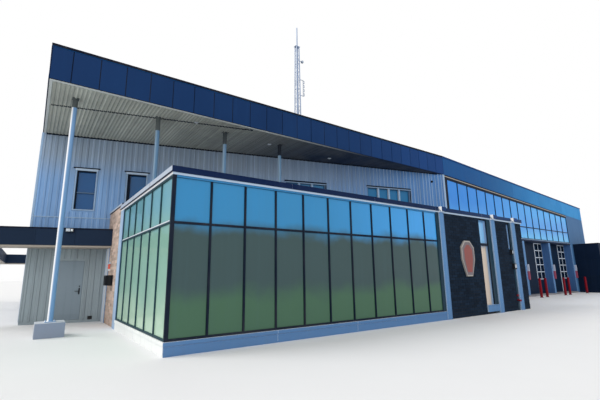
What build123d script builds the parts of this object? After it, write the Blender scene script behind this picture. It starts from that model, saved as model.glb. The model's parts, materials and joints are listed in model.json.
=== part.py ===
"""Fire station: a glazed front pavilion, a dark brick front, a tall hall with four
vehicle doors, an overhanging roof on round columns and a lattice mast.

Millimetres. X runs to the right along the front, Y runs back into the building and
Z is up. The origin is the near corner of the glazed pavilion, at ground level.
"""

import math
import os

from build123d import *

os.makedirs("parts", exist_ok=True)

# Glazed pavilion
FRONT_PANELS = 11
FRONT_PANEL_WIDTH = 845.0
SIDE_PANELS = 6
SIDE_PANEL_WIDTH = 835.0
BASE_HEIGHT = 277.0
BASE_THICKNESS = 260.0
BASE_PROJECTION = 40.0
BASE_LIP_HEIGHT = 80.0
BASE_LIP_PROJECTION = 15.0
GLASS_TOP = 3660.0
TRANSOM_HEIGHT = 2640.0
GLASS_THICKNESS = 24.0
MULLION_WIDTH = 60.0
MULLION_DEPTH = 130.0
CAP_WIDTH = 50.0
CAP_DEPTH = 25.0

# Low roof over the pavilion and the brick front
LOW_SLAB_THICKNESS = 140.0
TRIM_HEIGHT = 50.0
TRIM_PROJECTION = 45.0
LOW_CAP_HEIGHT = 135.0
LOW_CAP_PROJECTION = 70.0

# Brick front beside the pavilion: a post, a field, a post, a field, a post and the last field
BRICK_THICKNESS = 300.0
FIRST_POST_WIDTH = 270.0
FIRST_FIELD = 3235.0
SECOND_POST_WIDTH = 310.0
SECOND_FIELD = 1390.0
THIRD_POST_WIDTH = 320.0
LAST_FIELD = 610.0
CLAD_POST_PROJECTION = 60.0
TALL_WINDOW_GAP = 275.0
TALL_WINDOW_WIDTH = 560.0
TALL_WINDOW_BOTTOM = 80.0
TALL_WINDOW_TOP = 3600.0
TALL_WINDOW_SILL = 310.0
SLOT_WINDOW_GAP = 140.0
SLOT_WINDOW_WIDTH = 200.0
SLOT_WINDOW_BOTTOM = 2500.0
SLOT_WINDOW_TOP = 3570.0
PLAQUE_GAP = 935.0
PLAQUE_WIDTH = 830.0
PLAQUE_BOTTOM = 1415.0
PLAQUE_TOP = 2715.0
PLAQUE_SLANT_WIDTH = 240.0
PLAQUE_UPPER_SLANT = 240.0
PLAQUE_LOWER_SLANT = 600.0
PLAQUE_THICKNESS = 60.0

# Brick stub wall behind the pavilion, with a recess beside the rear post and a panel at its end
REAR_POST_DEPTH = 450.0
STUB_RECESS_WIDTH = 250.0
STUB_RECESS_DEPTH = 80.0
STUB_PANEL_WIDTH = 550.0
STUB_PANEL_GAP = 60.0
STUB_PANEL_THICKNESS = 25.0
STUB_THICKNESS = 300.0
STUB_TOP = 3900.0
STUB_CAP_HEIGHT = 60.0
STUB_CAP_PROJECTION = 30.0

# Tall building
FRONT_LINE = 3700.0
KINK_OFFSET = 287.0
OBLIQUE_DEGREES = 14.61
ROOF_LEFT = -2420.0
END_WALL_LENGTH = 3233.0
BACK_LINE = 26000.0
WALL_THICKNESS = 250.0
EAVE_HEIGHT = 6882.0
FASCIA_HEIGHT = 1053.0
FASCIA_THICKNESS = 120.0
RIGHT_ROOF_FALL = 0.058
DECK_THICKNESS = 250.0
PARAPET_HEIGHT = 85.0
COPING_HEIGHT = 70.0
COPING_PROJECTION = 25.0
SOFFIT_THICKNESS = 60.0
EAVE_TRIM_INSET = 20.0
EAVE_TRIM_WIDTH = 70.0
EAVE_TRIM_HEIGHT = 20.0
HEAD_TRIM_DROP = 60.0
HEAD_TRIM_HEIGHT = 50.0

# Floors and the structure indoors
FLOOR_THICKNESS = 100.0
UPPER_FLOOR_TOP = 3150.0
UPPER_FLOOR_THICKNESS = 200.0
INNER_POST_SIZE = 250.0
INNER_POSTS_UNDER_WALL = 4
INNER_POSTS_UNDER_EDGE = 4

# Windows of the oblique metal wall, each with its start, width, sill and head. The starts of the
# two left ones are measured along the wall from the stub wall, the others from the kink.
FAR_LEFT_WINDOW = (-1320.0, 770.0, 3990.0, 5580.0)
LEFT_WINDOW = (420.0, 800.0, 3990.0, 5580.0)
MIDDLE_WINDOW = (-9200.0, 2000.0, 4600.0, 5760.0)
RIGHT_WINDOW = (-4900.0, 2540.0, 4600.0, 5830.0)
OBLIQUE_LIGHT_COUNTS = (1, 1, 3, 4)

# Windows of the left wall and the back wall
LEFT_WALL_WINDOWS = 5
LEFT_WALL_MARGIN = 1500.0
LEFT_WALL_SPACING = 3000.0
PLAIN_WINDOW_WIDTH = 800.0
PLAIN_WINDOW_SILL = 3990.0
PLAIN_WINDOW_HEAD = 5580.0
BACK_WALL_WINDOWS = 5
BACK_WALL_MARGIN = 1800.0
BACK_WALL_SPACING = 3300.0
BACK_BAY_WINDOW_WIDTH = 3200.0
BACK_BAY_WINDOW_RISE = 550.0
BACK_BAY_WINDOW_DROP = 640.0
BACK_BAY_LIGHT_COUNT = 4
WINDOW_BAR = 50.0
WINDOW_FRAME_DEPTH = 60.0
WINDOW_RECESS = 40.0

# Strip glazing and vehicle doors
BAY_COUNT = 4
PANELS_PER_BAY = 4
BAYS_OFFSET = 258.0
BAY_WIDTH = 3978.0
HEADER_BOTTOM = 3600.0
HEADER_TOP = 3750.0
STRIP_TRANSOM = 4550.0
STRIP_HEAD_BAND = 240.0
STRIP_SETBACK = 40.0
STRIP_MULLION_DEPTH = 120.0
BAY_PIER_WIDTH = 250.0
BAY_RECESS = 560.0
MARKER_WIDTH = 80.0
MARKER_DEPTH = 120.0
MARKER_BOTTOM = 1080.0
MARKER_TOP = 2050.0
DOOR_THICKNESS = 60.0
DOOR_BAR = 80.0
DOOR_ROWS = 5
DOOR_SOLID_HEIGHT = 940.0
DOOR_GLAZED_COLUMNS = 2
DOOR_COLUMN_WIDTH = 620.0

# Low dark block at the right
BLOCK_OFFSET = 513.0
BLOCK_LENGTH = 2650.0
BLOCK_DEPTH = 1630.0
BLOCK_HEIGHT = 3660.0
BLOCK_WALL = 200.0
BLOCK_ROOF = 150.0

# Round columns
COLUMN_DIAMETER = 140.0
COLUMN_LINE = 4700.0
FIRST_COLUMN_X = -1700.0
COLUMN_SPACING = 2450.0
COLUMN_COUNT = 4
PIER_SIZE = 680.0
PIER_HEIGHT = 380.0

# Service door in the metal wall
HINGE_HEIGHTS = (300.0, 1125.0, 1950.0)
HINGE_RADIUS = 8.0
HINGE_STANDOFF = 12.0
HINGE_KNUCKLE = 45.0
HINGE_GAP = 0.3
HINGE_PLATE_WIDTH = 40.0
HINGE_PLATE = 4.0
DOOR_STUB_GAP = 658.0
DOOR_OPENING_WIDTH = 1000.0
DOOR_OPENING_TOP = 2200.0
DOOR_FRAME_WIDTH = 50.0
DOOR_FRAME_DEPTH = 200.0
DOOR_SILL = 100.0
LEAF_CLEARANCE = 6.0
LEAF_THICKNESS = 50.0
LEAF_PROUD = 5.0
HANDLE_HEIGHT = 1080.0
HANDLE_INSET = 80.0
HANDLE_PLATE_WIDTH = 40.0
HANDLE_PLATE_HEIGHT = 220.0
HANDLE_PLATE_THICKNESS = 12.0
LEVER_LENGTH = 140.0
LEVER_THICKNESS = 20.0
LEVER_STANDOFF = 35.0

# Low canopy beside the building
CANOPY_WIDTH = 830.0
CANOPY_BOTTOM = 2640.0
CANOPY_HEIGHT = 600.0
CANOPY_LEFT = -4500.0
CANOPY_POST_SIZE = 200.0
CANOPY_TRIM_HEIGHT = 60.0
CANOPY_TRIM_INSET = 20.0

# Mast: four tapering legs, braced on each side, with a head plate, a pole and antennas
MAST_X = 8390.0
MAST_Y = 7200.0
MAST_FOOT_WIDTH = 300.0
MAST_HEAD_WIDTH = 200.0
MAST_BAY_HEIGHT = 500.0
MAST_LEG = 45.0
MAST_BRACE = 24.0
MAST_BRACE_THICKNESS = 12.0
MAST_PLATE_OVERHANG = 45.0
MAST_PLATE_THICKNESS = 20.0
MAST_POLE_DIAMETER = 80.0
MAST_POLE_LENGTH = 1180.0
MAST_TOP = 15030.0
ARRAY_LOOPS = 4
ARRAY_LOOP_SPACING = 240.0
ARRAY_LOOP_WIDTH = 70.0
ARRAY_LOOP_HEIGHT = 160.0
ARRAY_ROD = 25.0
ARRAY_DROP = 2900.0
ARRAY_STANDOFF = 170.0
RADIO_DROP = 850.0
RADIO_SIZE = 110.0
RADIO_STANDOFF = 120.0

# Fittings on the walls and under the soffit
LAMP_WIDTH = 130.0
LAMP_HEIGHT = 200.0
LAMP_DEPTH = 110.0
LAMP_DROP = 20.0
WIDE_LAMP_WIDTH = 220.0
WIDE_LAMP_HEIGHT = 240.0
WIDE_LAMP_BOTTOM = 1670.0
CAMERA_KINK_GAP = 880.0
CAMERA_HEIGHT = 6400.0
CAMERA_RADIUS = 70.0
DOWNLIGHT_DIAMETER = 160.0
DOWNLIGHT_THICKNESS = 15.0
DOWNLIGHT_PLACES = ((1970.0, 4400.0), (5250.0, 4860.0), (8560.0, 4940.0))
FLOODLIGHT_STUB_GAP = 1000.0
FLOODLIGHT_WIDTH = 240.0
FLOODLIGHT_HEIGHT = 130.0
FLOODLIGHT_DEPTH = 160.0
FLOODLIGHT_DROP = 20.0
STUB_BOX_START = 450.0
STUB_BOX_WIDTH = 400.0
STUB_BOX_HEIGHT = 350.0
STUB_BOX_BOTTOM = 1270.0
STUB_BOX_DEPTH = 220.0
STROBE_START = 1080.0
STROBE_WIDTH = 90.0
STROBE_HEIGHT = 300.0
STROBE_BOTTOM = 1770.0
STROBE_DEPTH = 80.0

# Bollards before the vehicle doors, measured from the first vehicle bay's left edge
BOLLARD_DIAMETER = 145.0
BOLLARD_HEIGHT = 1150.0
BOLLARD_LINE = 2850.0
BOLLARD_PLACES = (3665.0, 4485.0, 7645.0, 8465.0, 11295.0, 12075.0, 15175.0)

# Values that follow from the sizes above
pavilion_width = FRONT_PANELS * FRONT_PANEL_WIDTH
pavilion_depth = SIDE_PANELS * SIDE_PANEL_WIDTH
first_field_start = pavilion_width + FIRST_POST_WIDTH
second_post_start = first_field_start + FIRST_FIELD
second_field_start = second_post_start + SECOND_POST_WIDTH
third_post_start = second_field_start + SECOND_FIELD
last_field_start = third_post_start + THIRD_POST_WIDTH
brick_right = last_field_start + LAST_FIELD
clad_post_spans = (
    (pavilion_width, first_field_start),
    (second_post_start, second_field_start),
    (third_post_start, last_field_start),
)
low_slab_top = GLASS_TOP + LOW_SLAB_THICKNESS
low_top = GLASS_TOP + TRIM_HEIGHT + LOW_CAP_HEIGHT
stub_start = pavilion_depth + REAR_POST_DEPTH
kink_x = brick_right + KINK_OFFSET
bays_left = kink_x + BAYS_OFFSET
bays_right = bays_left + BAY_COUNT * BAY_WIDTH
last_pier_right = bays_right + BAY_PIER_WIDTH
roof_right = bays_right + END_WALL_LENGTH
block_left = bays_right + BLOCK_OFFSET
block_right = block_left + BLOCK_LENGTH
block_front = FRONT_LINE - BLOCK_DEPTH
panel_width = BAY_WIDTH / PANELS_PER_BAY
deck_top = EAVE_HEIGHT + FASCIA_HEIGHT - PARAPET_HEIGHT
deck_bottom = deck_top - DECK_THICKNESS
inner_left = ROOF_LEFT + WALL_THICKNESS
inner_right = roof_right - WALL_THICKNESS
inner_back = BACK_LINE - WALL_THICKNESS
upper_floor_bottom = UPPER_FLOOR_TOP - UPPER_FLOOR_THICKNESS
slope = math.tan(math.radians(OBLIQUE_DEGREES))
along = Vector(
    math.cos(math.radians(OBLIQUE_DEGREES)), -math.sin(math.radians(OBLIQUE_DEGREES)), 0
)
outward = Vector(-math.sin(math.radians(OBLIQUE_DEGREES)), -along.X, 0)


def front_plane(y):
    """Upright plane across the building at y, drawn in X and Z."""
    return Plane.XZ.offset(-y)


def side_plane(x):
    """Upright plane along the building at x, drawn in Y and Z."""
    return Plane.YZ.offset(x)


def oblique_plane(out=0.0):
    """Upright plane along the oblique wall, drawn in distance from the kink and Z."""
    corner = Vector(kink_x, FRONT_LINE, 0) + outward * out
    return Plane(origin=corner, x_dir=along, z_dir=outward)


def oblique_point(distance, out=0.0):
    """Plan point at a distance along the oblique wall and out from its outer face."""
    point = Vector(kink_x, FRONT_LINE, 0) + along * distance + outward * out
    return (point.X, point.Y)


def oblique_y(x, out=0.0):
    """Y of the oblique wall's line at x."""
    corner = oblique_point(0, out)
    return corner[1] - (x - corner[0]) * slope


def distance_at(x):
    """Distance along the oblique wall's outer face at x."""
    return (x - kink_x) / along.X


# The metal wall's two lengths meet behind the stub wall
stub_distance = distance_at(0)
wall_split = distance_at(STUB_THICKNESS)
# The soffit runs to a point where the oblique wall meets the back of the front fascia
soffit_front = FRONT_LINE + FASCIA_THICKNESS
soffit_tip = kink_x - FASCIA_THICKNESS / slope


def eave_at(x):
    """Height of the eave at x: level at the left, falling to the right of the kink."""
    return EAVE_HEIGHT - max(0.0, x - kink_x) * RIGHT_ROOF_FALL


def rectangle(u0, v0, u1, v1, mode=Mode.ADD):
    """Rectangle between two corners of the sketch in hand."""
    with Locations(((u0 + u1) / 2, (v0 + v1) / 2)):
        Rectangle(u1 - u0, v1 - v0, mode=mode)


def slab(outline, bottom, top):
    """Level slab with a plan outline."""
    with BuildPart() as piece:
        with BuildSketch(Plane.XY.offset(bottom)):
            Polygon(*outline)
        extrude(amount=top - bottom)
    return piece


def sheet(plane, outline, depth, openings=()):
    """Upright sheet on a plane, running back by its depth, with square openings."""
    with BuildPart() as piece:
        with BuildSketch(plane):
            Polygon(*outline)
            for opening in openings:
                rectangle(*opening, mode=Mode.SUBTRACT)
        extrude(amount=depth)
    return piece


def corners(u0, v0, u1, v1):
    """Outline of a rectangle."""
    return ((u0, v0), (u1, v0), (u1, v1), (u0, v1))


def keep(piece, name):
    """Label a finished piece and write it."""
    piece.part.label = name
    export_step(piece.part, f"parts/{name}.step")


def grid_openings(edges_u, edges_v, bar):
    """Openings between bars that are centred on the given lines."""
    openings = []
    for u0, u1 in zip(edges_u, edges_u[1:]):
        for v0, v1 in zip(edges_v, edges_v[1:]):
            openings.append((u0 + bar / 2, v0 + bar / 2, u1 - bar / 2, v1 - bar / 2))
    return openings


# Pavilion base with a lip along its top, frames, glass and outer caps
floor_inner = BASE_THICKNESS - BASE_PROJECTION
lip_bottom = BASE_HEIGHT - BASE_LIP_HEIGHT
with BuildPart() as pavilion_base:
    for projection, bottom, top in (
        (BASE_PROJECTION, 0, lip_bottom),
        (BASE_PROJECTION + BASE_LIP_PROJECTION, lip_bottom, BASE_HEIGHT),
    ):
        with BuildSketch(Plane.XY.offset(bottom)):
            rectangle(-projection, -projection, pavilion_width, pavilion_depth)
            rectangle(floor_inner, floor_inner, pavilion_width, pavilion_depth, mode=Mode.SUBTRACT)
        extrude(amount=top - bottom)
keep(pavilion_base, "pavilion_base")

frame_inner = GLASS_THICKNESS + MULLION_DEPTH
front_lines = [frame_inner + MULLION_WIDTH / 2]
front_lines += [FRONT_PANEL_WIDTH * i for i in range(1, FRONT_PANELS)]
front_lines += [pavilion_width - MULLION_WIDTH / 2]
side_lines = [frame_inner + MULLION_WIDTH / 2]
side_lines += [SIDE_PANEL_WIDTH * i for i in range(1, SIDE_PANELS)]
side_lines += [pavilion_depth - MULLION_WIDTH / 2]
level_lines = [BASE_HEIGHT + MULLION_WIDTH / 2, TRANSOM_HEIGHT, GLASS_TOP - MULLION_WIDTH / 2]

front_mullions = sheet(
    front_plane(GLASS_THICKNESS),
    corners(GLASS_THICKNESS, BASE_HEIGHT, pavilion_width, GLASS_TOP),
    -MULLION_DEPTH,
    grid_openings(front_lines, level_lines, MULLION_WIDTH),
)
keep(front_mullions, "front_mullions")

side_mullions = sheet(
    side_plane(GLASS_THICKNESS),
    corners(frame_inner, BASE_HEIGHT, pavilion_depth, GLASS_TOP),
    MULLION_DEPTH,
    grid_openings(side_lines, level_lines, MULLION_WIDTH),
)
keep(side_mullions, "side_mullions")

front_glass = sheet(
    front_plane(0), corners(0, BASE_HEIGHT, pavilion_width, GLASS_TOP), -GLASS_THICKNESS
)
keep(front_glass, "front_glass")

side_glass = sheet(
    side_plane(0),
    corners(GLASS_THICKNESS, BASE_HEIGHT, pavilion_depth, GLASS_TOP),
    GLASS_THICKNESS,
)
keep(side_glass, "side_glass")

cap_levels = [BASE_HEIGHT + CAP_WIDTH / 2, TRANSOM_HEIGHT, GLASS_TOP - CAP_WIDTH / 2]
front_cap_lines = [CAP_WIDTH / 2] + front_lines[1:-1] + [pavilion_width - CAP_WIDTH / 2]
front_caps = sheet(
    front_plane(0),
    corners(-CAP_DEPTH, BASE_HEIGHT, pavilion_width, GLASS_TOP),
    CAP_DEPTH,
    grid_openings(front_cap_lines, cap_levels, CAP_WIDTH),
)
keep(front_caps, "front_caps")

side_cap_lines = [CAP_WIDTH / 2] + side_lines[1:-1] + [pavilion_depth - CAP_WIDTH / 2]
side_caps = sheet(
    side_plane(0),
    corners(0, BASE_HEIGHT, pavilion_depth, GLASS_TOP),
    -CAP_DEPTH,
    grid_openings(side_cap_lines, cap_levels, CAP_WIDTH),
)
keep(side_caps, "side_caps")

# Low roof slab, with its light trim and dark cap round the edge
low_roof = slab(
    (
        (0, 0),
        (brick_right, 0),
        (brick_right, oblique_y(brick_right, -WALL_THICKNESS)),
        oblique_point(wall_split, -WALL_THICKNESS),
        oblique_point(wall_split),
        (STUB_THICKNESS, stub_start),
        (0, stub_start),
    ),
    GLASS_TOP,
    low_slab_top,
)
keep(low_roof, "low_roof")


def edge_band(projection, bottom, top):
    """Band round the front, the left and the right edge of the low roof."""
    with BuildPart() as band:
        with BuildSketch(Plane.XY.offset(bottom)):
            rectangle(-projection, -projection, brick_right + projection, 0)
            rectangle(-projection, 0, 0, stub_start)
            rectangle(brick_right, 0, brick_right + projection, FRONT_LINE)
            for left, right in clad_post_spans:
                rectangle(left, -projection - CLAD_POST_PROJECTION, right, -projection)
        extrude(amount=top - bottom)
    return band


roof_trim = edge_band(TRIM_PROJECTION, GLASS_TOP, GLASS_TOP + TRIM_HEIGHT)
keep(roof_trim, "roof_trim")
roof_cap = edge_band(LOW_CAP_PROJECTION, GLASS_TOP + TRIM_HEIGHT, low_top)
keep(roof_cap, "roof_cap")

# Dark brick front with its windows, clad posts and plaque
tall_window_right = second_post_start - TALL_WINDOW_GAP
slot_window_right = third_post_start - SLOT_WINDOW_GAP
tall_window = (
    tall_window_right - TALL_WINDOW_WIDTH,
    TALL_WINDOW_BOTTOM,
    tall_window_right,
    TALL_WINDOW_TOP,
)
slot_window = (
    slot_window_right - SLOT_WINDOW_WIDTH,
    SLOT_WINDOW_BOTTOM,
    slot_window_right,
    SLOT_WINDOW_TOP,
)
with BuildPart() as brick_front:
    with BuildSketch():
        rectangle(pavilion_width, 0, brick_right, BRICK_THICKNESS)
        rectangle(brick_right - BRICK_THICKNESS, BRICK_THICKNESS, brick_right, FRONT_LINE)
    extrude(amount=GLASS_TOP)
    with BuildSketch(front_plane(0)):
        rectangle(*tall_window)
        rectangle(*slot_window)
    extrude(amount=-BRICK_THICKNESS, mode=Mode.SUBTRACT)
keep(brick_front, "brick_front")

# Clad posts: three on the brick front and one at the rear end of the glazed side, and the
# panel at the far end of the stub wall
panel_end = oblique_y(0) - STUB_PANEL_GAP
with BuildPart() as clad_posts:
    with BuildSketch():
        for left, right in clad_post_spans:
            rectangle(left, -CLAD_POST_PROJECTION, right, 0)
        rectangle(-BASE_PROJECTION, pavilion_depth, STUB_THICKNESS, stub_start)
    extrude(amount=GLASS_TOP)
    with BuildSketch():
        rectangle(-STUB_PANEL_THICKNESS, panel_end - STUB_PANEL_WIDTH, 0, panel_end)
    extrude(amount=CANOPY_BOTTOM - CANOPY_TRIM_HEIGHT)
keep(clad_posts, "clad_posts")

with BuildPart() as brick_window_frames:
    with BuildSketch(front_plane(WINDOW_RECESS)):
        for hole, sill in ((tall_window, TALL_WINDOW_SILL), (slot_window, None)):
            left, bottom, right, top = hole
            glass_bottom = sill or bottom + WINDOW_BAR
            rectangle(*hole)
            rectangle(
                left + WINDOW_BAR,
                glass_bottom,
                right - WINDOW_BAR,
                top - WINDOW_BAR,
                mode=Mode.SUBTRACT,
            )
    extrude(amount=-WINDOW_FRAME_DEPTH)
keep(brick_window_frames, "brick_window_frames")

# Plaque: its slanted corners are long below and short above
plaque_left = first_field_start + PLAQUE_GAP
plaque_right = plaque_left + PLAQUE_WIDTH
plaque = sheet(
    front_plane(0),
    (
        (plaque_left + PLAQUE_SLANT_WIDTH, PLAQUE_BOTTOM),
        (plaque_right - PLAQUE_SLANT_WIDTH, PLAQUE_BOTTOM),
        (plaque_right, PLAQUE_BOTTOM + PLAQUE_LOWER_SLANT),
        (plaque_right, PLAQUE_TOP - PLAQUE_UPPER_SLANT),
        (plaque_right - PLAQUE_SLANT_WIDTH, PLAQUE_TOP),
        (plaque_left + PLAQUE_SLANT_WIDTH, PLAQUE_TOP),
        (plaque_left, PLAQUE_TOP - PLAQUE_UPPER_SLANT),
        (plaque_left, PLAQUE_BOTTOM + PLAQUE_LOWER_SLANT),
    ),
    PLAQUE_THICKNESS,
)
keep(plaque, "plaque")

# Brick stub wall from the pavilion to the metal wall, with its cap
stub_outline = (
    (STUB_RECESS_DEPTH, stub_start),
    (STUB_THICKNESS, stub_start),
    (STUB_THICKNESS, oblique_y(STUB_THICKNESS)),
    (0, oblique_y(0)),
    (0, stub_start + STUB_RECESS_WIDTH),
    (STUB_RECESS_DEPTH, stub_start + STUB_RECESS_WIDTH),
)
brick_stub = slab(stub_outline, 0, STUB_TOP)
keep(brick_stub, "brick_stub")

stub_cap = slab(
    (
        (-STUB_CAP_PROJECTION, stub_start),
        (STUB_THICKNESS, stub_start),
        (STUB_THICKNESS, oblique_y(STUB_THICKNESS)),
        (-STUB_CAP_PROJECTION, oblique_y(-STUB_CAP_PROJECTION)),
    ),
    STUB_TOP,
    STUB_TOP + STUB_CAP_HEIGHT,
)
keep(stub_cap, "stub_cap")

# Oblique metal wall, split beside and over the service door
door_end = stub_distance - DOOR_STUB_GAP
door_start = door_end - DOOR_OPENING_WIDTH


def oblique_block(start, end, bottom, top):
    """Length of the oblique wall in plan; start None is cut flush with the left wall."""
    if start is None:
        left = (
            (ROOF_LEFT, oblique_y(ROOF_LEFT, -WALL_THICKNESS)),
            (ROOF_LEFT, oblique_y(ROOF_LEFT)),
        )
    else:
        left = (oblique_point(start, -WALL_THICKNESS), oblique_point(start))
    if end is None:
        right = ((kink_x, FRONT_LINE), (kink_x, oblique_y(kink_x, -WALL_THICKNESS)))
    else:
        right = (oblique_point(end), oblique_point(end, -WALL_THICKNESS))
    return slab(left + right, bottom, top)


def window_hole(window, origin):
    """Corners of a window whose start is measured from an origin along its wall."""
    start, width, sill, head = window
    return (origin + start, sill, origin + start + width, head)


def frame_window(hole, lights):
    """Frame of a window in the sketch in hand, with bars between its lights."""
    left, sill, right, head = hole
    rectangle(*hole)
    step = (right - left - WINDOW_BAR) / lights
    uprights = [left + WINDOW_BAR / 2 + step * i for i in range(lights + 1)]
    levels = [sill + WINDOW_BAR / 2, head - WINDOW_BAR / 2]
    for light in grid_openings(uprights, levels, WINDOW_BAR):
        rectangle(*light, mode=Mode.SUBTRACT)


far_left_hole = window_hole(FAR_LEFT_WINDOW, stub_distance)
oblique_holes = [
    far_left_hole,
    window_hole(LEFT_WINDOW, stub_distance),
    window_hole(MIDDLE_WINDOW, 0),
    window_hole(RIGHT_WINDOW, 0),
]
left_wall_holes = []
for i in range(LEFT_WALL_WINDOWS):
    start = BACK_LINE - LEFT_WALL_MARGIN - PLAIN_WINDOW_WIDTH - LEFT_WALL_SPACING * i
    end = start + PLAIN_WINDOW_WIDTH
    left_wall_holes.append((start, PLAIN_WINDOW_SILL, end, PLAIN_WINDOW_HEAD))
back_wall_holes = []
for i in range(BACK_WALL_WINDOWS):
    start = ROOF_LEFT + BACK_WALL_MARGIN + BACK_WALL_SPACING * i
    end = start + PLAIN_WINDOW_WIDTH
    back_wall_holes.append((start, PLAIN_WINDOW_SILL, end, PLAIN_WINDOW_HEAD))
back_bay_sill = HEADER_TOP + BACK_BAY_WINDOW_RISE
back_bay_head = eave_at(bays_right) - BACK_BAY_WINDOW_DROP
back_bay_holes = []
for i in range(BAY_COUNT):
    start = bays_left + BAY_WIDTH * (i + 0.5) - BACK_BAY_WINDOW_WIDTH / 2
    end = start + BACK_BAY_WINDOW_WIDTH
    back_bay_holes.append((start, back_bay_sill, end, back_bay_head))

wall_left_of_door = oblique_block(None, door_start, 0, DOOR_OPENING_TOP)
wall_right_of_door = oblique_block(door_end, wall_split, 0, DOOR_OPENING_TOP)
with BuildPart() as door_wall_sides:
    add(wall_left_of_door.part)
    add(wall_right_of_door.part)
keep(door_wall_sides, "door_wall_sides")

upper_block = oblique_block(None, wall_split, DOOR_OPENING_TOP, EAVE_HEIGHT)
upper_top = slab(
    (
        (inner_left, oblique_y(inner_left, -WALL_THICKNESS)),
        (inner_left, oblique_y(inner_left)),
        oblique_point(wall_split),
        oblique_point(wall_split, -WALL_THICKNESS),
    ),
    EAVE_HEIGHT,
    deck_bottom,
)
with BuildPart() as door_wall_upper:
    add(upper_block.part)
    add(upper_top.part)
    with BuildSketch(oblique_plane()):
        rectangle(*far_left_hole)
    extrude(amount=-WALL_THICKNESS, mode=Mode.SUBTRACT)
keep(door_wall_upper, "door_wall_upper")

main_block = oblique_block(wall_split, None, low_slab_top, EAVE_HEIGHT)
main_top = slab(
    (
        oblique_point(wall_split, -WALL_THICKNESS),
        oblique_point(wall_split),
        (soffit_tip, soffit_front),
        (kink_x, soffit_front),
        (kink_x, oblique_y(kink_x, -WALL_THICKNESS)),
    ),
    EAVE_HEIGHT,
    deck_bottom,
)
with BuildPart() as metal_wall:
    add(main_block.part)
    add(main_top.part)
    with BuildSketch(oblique_plane()):
        for hole in oblique_holes[1:]:
            rectangle(*hole)
    extrude(amount=-WALL_THICKNESS, mode=Mode.SUBTRACT)
keep(metal_wall, "metal_wall")

with BuildPart() as wall_window_frames:
    with BuildSketch(oblique_plane(-WINDOW_RECESS)):
        for hole, lights in zip(oblique_holes, OBLIQUE_LIGHT_COUNTS):
            frame_window(hole, lights)
    extrude(amount=-WINDOW_FRAME_DEPTH)
    with BuildSketch(side_plane(ROOF_LEFT + WINDOW_RECESS)):
        for hole in left_wall_holes:
            frame_window(hole, 1)
    extrude(amount=WINDOW_FRAME_DEPTH)
    with BuildSketch(front_plane(BACK_LINE - WINDOW_RECESS)):
        for hole in back_wall_holes:
            frame_window(hole, 1)
        for hole in back_bay_holes:
            frame_window(hole, BACK_BAY_LIGHT_COUNT)
    extrude(amount=WINDOW_FRAME_DEPTH)
keep(wall_window_frames, "wall_window_frames")

# Glass behind the frames of all windows
glass_setback = WINDOW_RECESS + WINDOW_FRAME_DEPTH
with BuildPart() as window_glass:
    with BuildSketch(front_plane(glass_setback)):
        rectangle(*tall_window)
        rectangle(*slot_window)
    extrude(amount=-GLASS_THICKNESS)
    with BuildSketch(oblique_plane(-glass_setback)):
        for hole in oblique_holes:
            rectangle(*hole)
    extrude(amount=-GLASS_THICKNESS)
    with BuildSketch(side_plane(ROOF_LEFT + glass_setback)):
        for hole in left_wall_holes:
            rectangle(*hole)
    extrude(amount=GLASS_THICKNESS)
    with BuildSketch(front_plane(BACK_LINE - glass_setback)):
        for hole in back_wall_holes + back_bay_holes:
            rectangle(*hole)
    extrude(amount=GLASS_THICKNESS)
keep(window_glass, "window_glass")

# Beam and posts that carry the metal wall and the upper floor indoors
post_line = distance_at(brick_right) - INNER_POST_SIZE
post_step = (post_line - wall_split) / INNER_POSTS_UNDER_WALL
with BuildPart() as inner_frame:
    with BuildSketch(Plane.XY.offset(upper_floor_bottom)):
        Polygon(
            oblique_point(wall_split),
            (brick_right, oblique_y(brick_right)),
            (brick_right, oblique_y(brick_right, -WALL_THICKNESS)),
            oblique_point(wall_split, -WALL_THICKNESS),
        )
    extrude(amount=GLASS_TOP - upper_floor_bottom)
    with BuildSketch(Plane.XY.offset(FLOOR_THICKNESS)):
        for i in range(1, INNER_POSTS_UNDER_WALL + 1):
            middle = oblique_point(wall_split + post_step * i, -INNER_POST_SIZE / 2)
            with Locations(middle):
                Rectangle(INNER_POST_SIZE, INNER_POST_SIZE, rotation=-OBLIQUE_DEGREES)
        edge_step = (inner_back - FRONT_LINE) / (INNER_POSTS_UNDER_EDGE + 1)
        for i in range(1, INNER_POSTS_UNDER_EDGE + 1):
            with Locations((bays_left - INNER_POST_SIZE / 2, FRONT_LINE + edge_step * i)):
                Rectangle(INNER_POST_SIZE, INNER_POST_SIZE)
    extrude(amount=upper_floor_bottom - FLOOR_THICKNESS)
keep(inner_frame, "inner_frame")

# Floors
ground_floor = slab(
    (
        (floor_inner, floor_inner),
        (pavilion_width, floor_inner),
        (pavilion_width, BRICK_THICKNESS),
        (brick_right - BRICK_THICKNESS, BRICK_THICKNESS),
        (brick_right - BRICK_THICKNESS, FRONT_LINE),
        (last_pier_right, FRONT_LINE),
        (last_pier_right, FRONT_LINE + WALL_THICKNESS),
        (inner_right, FRONT_LINE + WALL_THICKNESS),
        (inner_right, inner_back),
        (inner_left, inner_back),
        (inner_left, oblique_y(inner_left, -WALL_THICKNESS)),
        oblique_point(wall_split, -WALL_THICKNESS),
        oblique_point(wall_split),
        (STUB_THICKNESS, pavilion_depth),
        (floor_inner, pavilion_depth),
    ),
    0,
    FLOOR_THICKNESS,
)
keep(ground_floor, "ground_floor")

upper_floor = slab(
    (
        (inner_left, oblique_y(inner_left, -WALL_THICKNESS)),
        (kink_x, oblique_y(kink_x, -WALL_THICKNESS)),
        (bays_left, oblique_y(kink_x, -WALL_THICKNESS)),
        (bays_left, inner_back),
        (inner_left, inner_back),
    ),
    upper_floor_bottom,
    UPPER_FLOOR_TOP,
)
keep(upper_floor, "upper_floor")

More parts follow.
